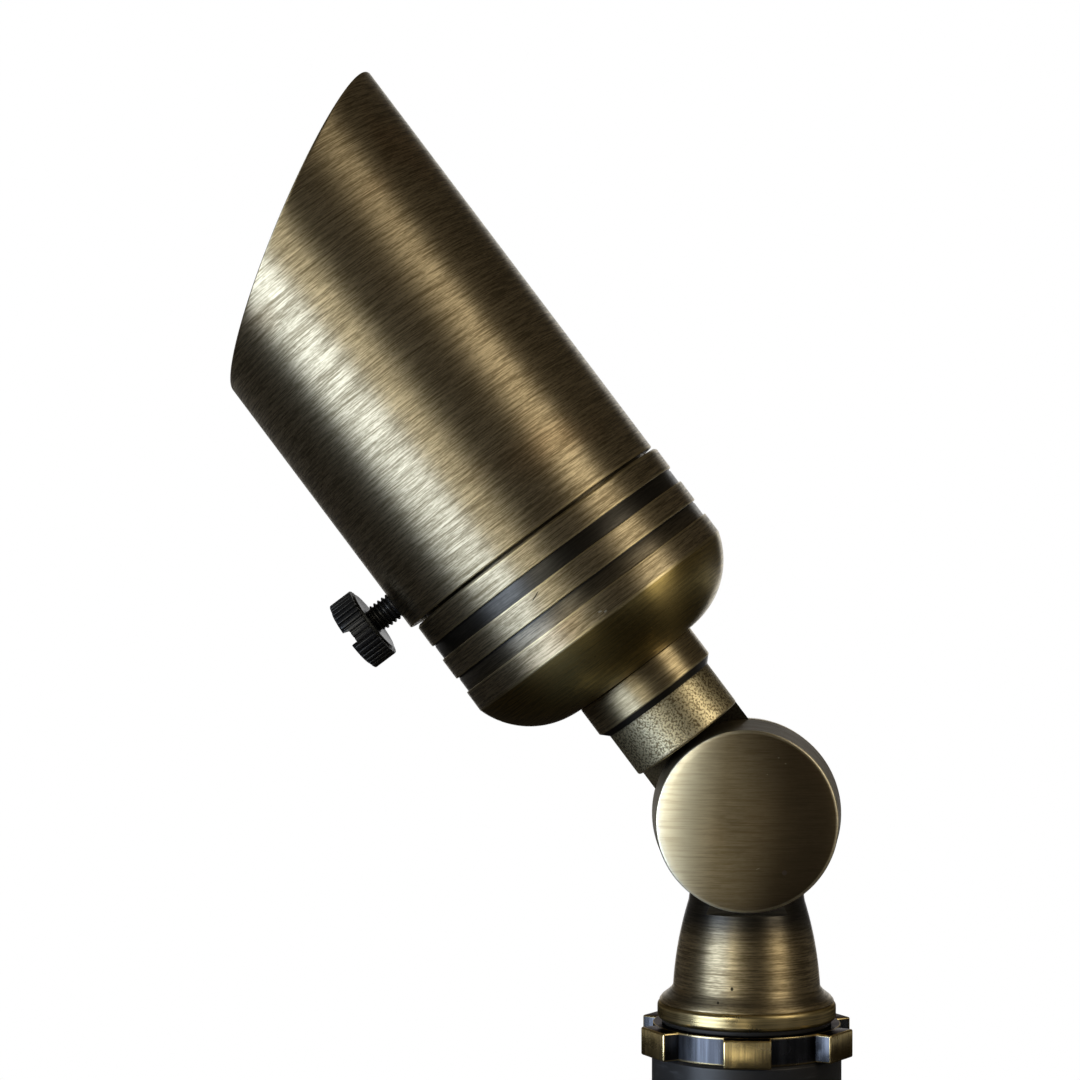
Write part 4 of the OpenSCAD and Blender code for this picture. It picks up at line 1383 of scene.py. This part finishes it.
        # The arm gets painted shade: it sits in the gap between the neck and the drum.
        arm = turned("arm", [
            Corner(0, 0, painted_shade=0.85), Corner(z.arm_r, 0, round=0.4, painted_shade=0.85),
            Corner(z.arm_r, z.arm_top_s, round=0.6), Corner(z.neck_r, z.arm_top_s + z.taper),
            Corner(z.neck_r - 1.0, z.arm_top_s + z.taper),
            Corner(0, z.arm_top_s + z.taper),
        ], self.rig.head, steps=128, closed=False)
        keep = block("keep", (-20, z.disc_y, -1), (20, 20, 30), self.rig.head, painted_shade=0.9)
        cut(arm, keep, "INTERSECT", painted_shade=0.95)
        neck = turned("neck", [
            Corner(0, z.arm_top_s, painted_shade=0.9), Corner(z.neck_r, z.arm_top_s, round=0.5, wear_and_highlight=0.55),
            # Painted shade at the neck's top, under the collar.
            Corner(z.neck_r, z.neck_top_s - 0.7, painted_shade=0.6),
            Corner(z.neck_r, z.neck_top_s, painted_shade=0.6),
            Corner(z.nipple_r, z.neck_top_s), Corner(z.nipple_r, z.nipple_top_s, round=0.4),
            Corner(z.nipple_bore_r, z.nipple_top_s), Corner(z.nipple_bore_r, z.neck_top_s + 2.0),
            Corner(0, z.neck_top_s + 2.0),
        ], self.rig.head, closed=False)
        piece = join("knuckle_upper", [disc, arm, neck])
        smooth(piece.data)
        self.fit(piece, "cast_neck", "cast_brass", Body.HEAD, "upper_knuckle")

    def bolt(self) -> None:
        """Socket cap screw with its hexagon, over a split spring washer."""
        z = self.sizes
        floor = z.counterbore_y + z.seat_gap
        seat = z.counterbore_y + z.washer_t
        top = seat + z.bolt_head_h
        piece = turned("bolt_head", [
            Corner(0, z.bolt_end), Corner(z.bolt_r, z.bolt_end, round=0.3), Corner(z.bolt_r, seat),
            Corner(z.bolt_head_r, seat, round=0.1), Corner(z.bolt_head_r, top, round=0.4),
            Corner(0, top),
        ], self.rig.bolt, steps=96, closed=False)
        hexagon = turned("hexagon", band(0, z.hexagon_r, top - z.hexagon_depth, top + 1),
                         self.rig.bolt, steps=6, closed=False)
        cut(piece, hexagon)
        self.fit(piece, "steel_plain", "steel", Body.BOLT, "knuckle_bolt")
        corners = band(z.bolt_hole_r, z.bolt_head_r + 0.3, floor, seat, 0.1)
        washer = turned("spring_washer", corners, self.rig.bolt, steps=96)
        half = z.washer_split / 2
        gap = block("washer_gap", (0, -half, z.counterbore_y - 1), (8, half, seat + 1),
                    self.rig.bolt)
        cut(washer, gap)
        self.fit(washer, "steel_plain", "steel", Body.BOLT, "knuckle_lock_washer")


@dataclass
class BaseSizes:
    """Sizes of the base and the stake, in mm, with heights above the ground line."""

    head_r: float = 19.6
    head_h: float = 45.0
    low_chamfer: float = 1.2
    top_chamfer: float = 0.6
    socket_r: float = 10.54
    socket_z: float = 27.0
    shelf_r: float = 8.98
    floor_z: float = 6.0
    cable_r: float = 5.0
    cable_z: float = 14.0
    spike_half: float = 17.0
    point_half: float = 12.6
    point_z: float = -111.6
    tip_z: float = -180.0
    fin_half: float = 2.25
    fin_edge: float = 0.5
    blunt: float = 1.6
    ring_z: float = 45.0
    ring_h: float = 5.8
    ring_r: float = 19.4
    lug_r: float = 22.3
    lug_w: float = 9.66
    lugs: int = 6
    gasket_z: float = 50.8
    gasket_r: float = 17.5
    washer_z: float = 51.7
    washer_t: float = 3.6
    washer_r: float = 18.45
    washer_edge: float = 0.9
    stem_gap_r: float = 10.58


class Base(Assembly):
    """Gold washer, gasket, castellated lock ring and the stake."""

    sizes = BaseSizes()

    def build(self) -> None:
        """Builds every piece of the base."""
        self.washer()
        self.gasket()
        self.lock_ring()
        self.stake_head()
        self.spike()

    def washer(self) -> None:
        """Brass washer with rounded edges, the lower one rubbed bright."""
        z = self.sizes
        top = z.washer_z + z.washer_t
        piece = turned("washer_ring", [
            # Painted shade on its underside, in its bore and faintly on its top.
            Corner(z.stem_gap_r, z.washer_z, painted_shade=0.6),
            Corner(z.washer_r, z.washer_z, round=z.washer_edge, wear_and_highlight=0.6, steps=8),
            Corner(z.washer_r, top, round=z.washer_edge, wear_and_highlight=0.15, painted_shade=0.3, steps=8),
            Corner(z.stem_gap_r, top, painted_shade=0.6),
        ], self.rig.upright, steps=224)
        self.fit(piece, "washer_polished", "polished_brass", Body.BASE, "base_washer")

    def gasket(self) -> None:
        """Rubber gasket, set back under the washer."""
        z = self.sizes
        top = z.washer_z
        piece = turned("gasket_ring", [
            Corner(z.stem_gap_r, z.gasket_z), Corner(z.gasket_r, z.gasket_z, round=0.2),
            Corner(z.gasket_r, top, round=0.2), Corner(z.stem_gap_r, top),
        ], self.rig.upright, steps=128)
        self.fit(piece, "rubber_black", "black_rubber", Body.BASE, "base_gasket")

    def lock_ring(self) -> None:
        """Ring with six lugs, set round it as copies of one."""
        z = self.sizes
        top = z.ring_z + z.ring_h
        ring = turned("ring_body", [
            # Painted shade on its top, under the washer, and in its bore.
            Corner(z.stem_gap_r, z.ring_z, painted_shade=0.8),
            Corner(z.ring_r, z.ring_z, round=0.2, wear_and_highlight=0.6),
            Corner(z.ring_r, top, round=0.2, wear_and_highlight=0.6, painted_shade=0.5),
            Corner(z.ring_r - 0.4, top, painted_shade=1.0),
            Corner(z.stem_gap_r, top, painted_shade=1.0),
        ], self.rig.upright)
        ring.data.materials.append(self.finishes["lock_ring_machined"])
        half, inset = z.lug_w / 2, 0.02
        lug = block("lugs", (z.ring_r - 3.0, -half, z.ring_z + inset), (z.lug_r, half, top - inset),
                    Matrix.Identity(4), bevel=0.4, bevel_steps=4)
        self.rub_faces(lug)
        PolarCopies(self.finishes["lock_ring_machined"]).apply(lug, z.lugs, -math.pi / 2,
                                                               self.rig.upright)
        piece = join("lock_ring_cut", [ring, lug])
        smooth(piece.data)
        self.fit(piece, "lock_ring_machined", "ring_brass", Body.LOCK_RING, "lock_ring")

    def rub_faces(self, lug: Piece) -> None:
        """Paints a lug: golden outer face, grey sides, painted shade on its top and bottom, edges
        rubbed bright.
        """
        z = self.sizes
        near = 1e-5
        for vert, dot in zip(lug.data.vertices, lug.data.attributes["patina"].data):
            if vert.co.x > z.lug_r * MM - near:
                dot.color = (0.0, 0.0, 1.0, 1.0)
            elif abs(vert.co.y) > z.lug_w / 2 * MM - near:
                dot.color = (0.0, 0.1, 0.0, 1.0)
            elif min(vert.co.z - z.ring_z * MM, (z.ring_z + z.ring_h) * MM - vert.co.z) < 0.03 * MM:
                dot.color = (0.0, 0.8, 0.0, 1.0)
            else:
                dot.color = (0.9, 0.0, 0.5, 1.0)

    def stake_head(self) -> None:
        """Round head of the stake with its socket and the cable outlet."""
        z = self.sizes
        piece = turned("stake_top", [
            Corner(0, 0), Corner(z.head_r - z.low_chamfer, 0, round=0.5),
            Corner(z.head_r, z.low_chamfer, round=0.5),
            Corner(z.head_r, z.head_h - z.top_chamfer, round=0.3),
            Corner(z.head_r - z.top_chamfer, z.head_h, round=0.3),
            Corner(z.socket_r, z.head_h), Corner(z.socket_r, z.socket_z),
            Corner(z.shelf_r, z.socket_z),
            Corner(z.shelf_r, z.floor_z), Corner(0, z.floor_z),
        ], self.rig.upright, closed=False)
        place = Matrix.Translation((0, 0, z.cable_z * MM)) @ Matrix.Rotation(-math.pi / 2, 4, "X")
        drill = turned("cable_drill", band(0, z.cable_r, 0, 25), place, steps=64, closed=False)
        cut(piece, drill)
        self.fit(piece, "stake_black", "stake_pvc", Body.STAKE, "stake")

    def spike(self) -> None:
        """Spike of two crossed fins, lofted from the ground line to the tip."""
        z = self.sizes
        levels = [(0.0, z.spike_half), (z.point_z, z.point_half),
                  (z.tip_z + z.blunt, z.fin_half + 0.02),
                  (z.tip_z, z.fin_half + 0.01)]
        bm = bmesh.new()
        rings = []
        for height, half in levels:
            t = z.fin_half
            outline = [(t, t), (t, half), (-t, half), (-t, t), (-half, t), (-half, -t), (-t, -t),
                       (-t, -half),
                       (t, -half), (t, -t), (half, -t), (half, t)]
            rings.append([bm.verts.new((x * MM, y * MM, height * MM)) for x, y in outline])
        for upper, lower in zip(rings, rings[1:]):
            for k in range(12):
                j = (k + 1) % 12
                bm.faces.new((upper[k], upper[j], lower[j], lower[k]))
        bm.faces.new(rings[0])
        bm.faces.new(list(reversed(rings[-1])))
        piece = made("spike_fins", bm)
        modifier = piece.modifiers.new("edges", "BEVEL")
        modifier.width = z.fin_edge * MM
        modifier.segments = 3
        modifier.limit_method = "ANGLE"
        modifier.angle_limit = math.radians(40)
        bake(piece)
        smooth(piece.data)
        self.fit(piece, "stake_black", "stake_pvc", Body.STAKE, "stake_spike")


class Lamp(Assembly):
    """The lamp's faceted bowl, and the finishes of the solids that stay."""

    rim_s = 106.4
    rim_r = 24.8
    base_s = 67.9
    base_h = 12.0
    neck_r = 9.0
    wall = 1.5
    facets = 40
    rings = 12
    hole_r = 4.2
    curve = 0.62
    keeps = {
        "rubber_black": ("knuckle_o_ring", "neck_o_ring", "cap_o_ring", "lens_gasket"),
        "washer_polished": ("nipple_nut",),
        "steel_plain": ("socket_bracket", "socket_screws", "lamp_pins"),
        "ceramic_white": ("lamp_socket", "lamp_base"),
        "glass_clear": ("lamp_capsule", "lamp_front_glass"),
    }

    def build(self) -> None:
        """Builds the bowl and finishes the solids that keep their shape."""
        self.bowl()
        for finish, nodes in self.keeps.items():
            for node in nodes:
                solid = bpy.data.objects[node]
                solid.data.materials.clear()
                solid.data.materials.append(self.finishes[finish])
                log.info("%s: keeps its solid, in %s", node, finish)

    def bowl(self) -> None:
        """Bowl whose facets scatter the beam."""
        low = self.base_s + self.base_h
        height = self.rim_s - low
        outer, inner = [], []
        for i in range(self.rings + 1):
            t = i / self.rings
            rise = (self.rim_r - self.neck_r) * t**self.curve
            outer.append(Dot(self.neck_r + rise, low + height * t, 0, 0, 0))
            level = low + self.wall + (height - self.wall) * t
            inner.append(Dot(self.neck_r - self.wall + rise, level, 0, 0, 0))
        hole = [Dot(self.hole_r, level, 0, 0, 0) for level in (low, low + self.wall)]
        dots = [hole[0], *outer, *reversed(inner), hole[1]]
        piece = lathe("lamp_bowl", lambda _: dots, self.rig.head, self.facets)
        piece.data.polygons.foreach_set("use_smooth", [False] * len(piece.data.polygons))
        self.fit(piece, "reflector_mirror", "reflector_glass", Body.HEAD, "lamp_reflector")


@dataclass(frozen=True)
class SoftBox:
    """Soft box of the studio.

    Attributes:
        name: its name.
        towards: direction from the part to it.
        distance: its distance, in m.
        size: its width and height, in m.
        radiance: its brightness, where 1 is white.
        colour: its colour.
    """

    name: str
    towards: Triple
    distance: float
    size: tuple[float, float]
    radiance: float
    colour: Triple


class Studio:
    """Camera, soft boxes, backdrop and floor."""

    focus = Vector((-0.03, 0.0, 0.13))
    boxes = (
        SoftBox("window_left", (-0.75, -0.66, -0.16), 0.95, (0.62, 0.70), 4.8, (0.70, 0.82, 1.0)),
        SoftBox("wall_left", (-0.30, -0.95, 0.08), 1.2, (0.7, 0.7), 0.12, (0.85, 0.80, 0.62)),
        SoftBox("lamp_right", (0.80, -0.46, 0.38), 0.42, (0.18, 0.34), 1.75, (1.0, 0.876, 0.655)),
        SoftBox("face_card", (-0.385, -0.91, 0.14), 0.75, (0.20, 0.56), 2.0, (1.0, 0.96, 0.80)),
        SoftBox("lug_card", (-0.03, -0.96, -0.28), 0.7, (0.16, 0.10), 1.2, (1.0, 0.90, 0.66)),
    )
    lens_mm = 98.33
    sensor_mm = 36.0
    camera_from_pivot = (-4.4, -611.4, 65.3)
    right = (0.998, 0.0628, 0.0)
    up = (-0.0008, 0.0131, 0.9999)
    forward = (-0.0628, 0.9979, -0.0131)
    floor_z = -0.1802
    dim = (0.046, 0.038, 0.027, 1.0)
    dark_floor = (0.012, 0.010, 0.008, 1.0)
    near, far = 1.5, 4.0

    def __init__(self, rig: Rig) -> None:
        """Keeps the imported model's rig."""
        self.rig = rig

    def build(self) -> None:
        """Sets up the whole studio."""
        self.camera()
        for box in self.boxes:
            self.soft_box(box)
        self.world()
        self.floor()
        self.backdrop()
        bpy.context.scene.view_settings.view_transform = "Standard"

    def camera(self) -> None:
        """Camera at the photograph's place and angle."""
        data = bpy.data.cameras.new("camera")
        data.lens = self.lens_mm
        data.sensor_width = self.sensor_mm
        data.clip_start = 0.01
        data.clip_end = 50.0
        camera = bpy.data.objects.new("camera", data)
        bpy.context.scene.collection.objects.link(camera)
        at = self.rig.pivot + Vector(self.camera_from_pivot) * MM
        turn = Matrix((self.right, self.up, [-v for v in self.forward])).transposed().to_4x4()
        camera.matrix_world = Matrix.Translation(at) @ turn
        bpy.context.scene.camera = camera

    def soft_box(self, box: SoftBox) -> None:
        """Adds one soft box, facing the part."""
        data = bpy.data.lights.new(box.name, "AREA")
        data.shape = "ELLIPSE"
        data.size, data.size_y = box.size
        data.color = box.colour
        data.energy = box.radiance * math.pi * box.size[0] * box.size[1]
        light = bpy.data.objects.new(box.name, data)
        bpy.context.scene.collection.objects.link(light)
        towards = Vector(box.towards).normalized()
        light.location = self.focus + towards * box.distance
        light.rotation_euler = towards.to_track_quat("Z", "Y").to_euler()
        light.visible_camera = False

    def world(self) -> None:
        """Dim studio round the part, with the white background where it is looked at."""
        world = bpy.data.worlds.new("studio")
        bpy.context.scene.world = world
        world.use_nodes = True
        nodes = world.node_tree.nodes
        nodes.clear()
        path, seen = nodes.new("ShaderNodeLightPath"), nodes.new("ShaderNodeMath")
        seen.operation = "MAXIMUM"
        pick = nodes.new("ShaderNodeMix")
        pick.data_type = "RGBA"
        pick.inputs[6].default_value = self.dim
        pick.inputs[7].default_value = WHITE
        background, result = nodes.new("ShaderNodeBackground"), nodes.new("ShaderNodeOutputWorld")
        wire(world.node_tree, (path, "Is Camera Ray", seen, 0),
             (path, "Is Transmission Ray", seen, 1),
             (seen, 0, pick, 0), (pick, 2, background, "Color"), (background, 0, result, "Surface"))

    def floor(self) -> None:
        """Plain pale floor at the spike's tip, which keeps a soft shadow of the part."""
        sheet = Sheet("floor_pale")
        sheet.set(Base_Color=(0.82, 0.82, 0.82, 1.0), Roughness=0.9)
        path = sheet.new("ShaderNodeLightPath")
        seen, mirrored = path.outputs["Is Camera Ray"], path.outputs["Is Glossy Ray"]
        shade = sheet.new("ShaderNodeAmbientOcclusion", {"Distance": 0.25}).outputs["Color"]
        distance = sheet.span(sheet.length(sheet.places), self.near, self.far)
        reflection = sheet.mix(distance, self.dark_floor, WHITE)
        glow = sheet.new("ShaderNodeEmission", {"Color": sheet.mix(seen, reflection, shade)})
        blend = sheet.new("ShaderNodeMixShader", {0: sheet.math("MAXIMUM", seen, mirrored)})
        output = next(n for n in sheet.tree.nodes if n.type == "OUTPUT_MATERIAL")
        wire(sheet.tree, (sheet.shader, 0, blend, 1), (glow, 0, blend, 2),
             (blend, 0, output, "Surface"))
        self.card("floor", (6.0, 6.0), Matrix.Translation((0, 0, self.floor_z)), sheet.material)

    def backdrop(self) -> None:
        """White backdrop behind the part, which camera, metal and glass show."""
        material = bpy.data.materials.new("backdrop_white")
        material.use_nodes = True
        nodes = material.node_tree.nodes
        nodes.clear()
        glow, output = nodes.new("ShaderNodeEmission"), nodes.new("ShaderNodeOutputMaterial")
        wire(material.node_tree, (glow, 0, output, "Surface"))
        place = Matrix.Translation((0, 1.6, 0.27)) @ Matrix.Rotation(math.pi / 2, 4, "X")
        card = self.card("backdrop", (1.1, 0.9), place, material)
        card.visible_diffuse = False
        card.visible_shadow = False

    def card(self, name: str, size: tuple[float, float], place: Matrix,
             material: Material) -> Piece:
        """Flat rectangle of the stage."""
        mesh = bpy.data.meshes.new(name)
        half_x, half_y = size[0] / 2, size[1] / 2
        corners = [(-half_x, -half_y, 0), (half_x, -half_y, 0), (half_x, half_y, 0),
                   (-half_x, half_y, 0)]
        mesh.from_pydata(corners, [], [(0, 1, 2, 3)])
        mesh.transform(place)
        mesh.materials.append(material)
        card = new_object(name, mesh)
        return card


def main() -> None:
    """Builds the dressed spotlight and its studio."""
    logging.basicConfig(level=logging.INFO, format="%(name)s: %(message)s")
    rig = Rig.load()
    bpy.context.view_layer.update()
    finishes = Finishes(rig)
    for kind in (Head, ThumbScrew, Knuckle, Base, Lamp):
        kind(rig, finishes).build()
    Studio(rig).build()


if __name__ == "__main__":
    main()
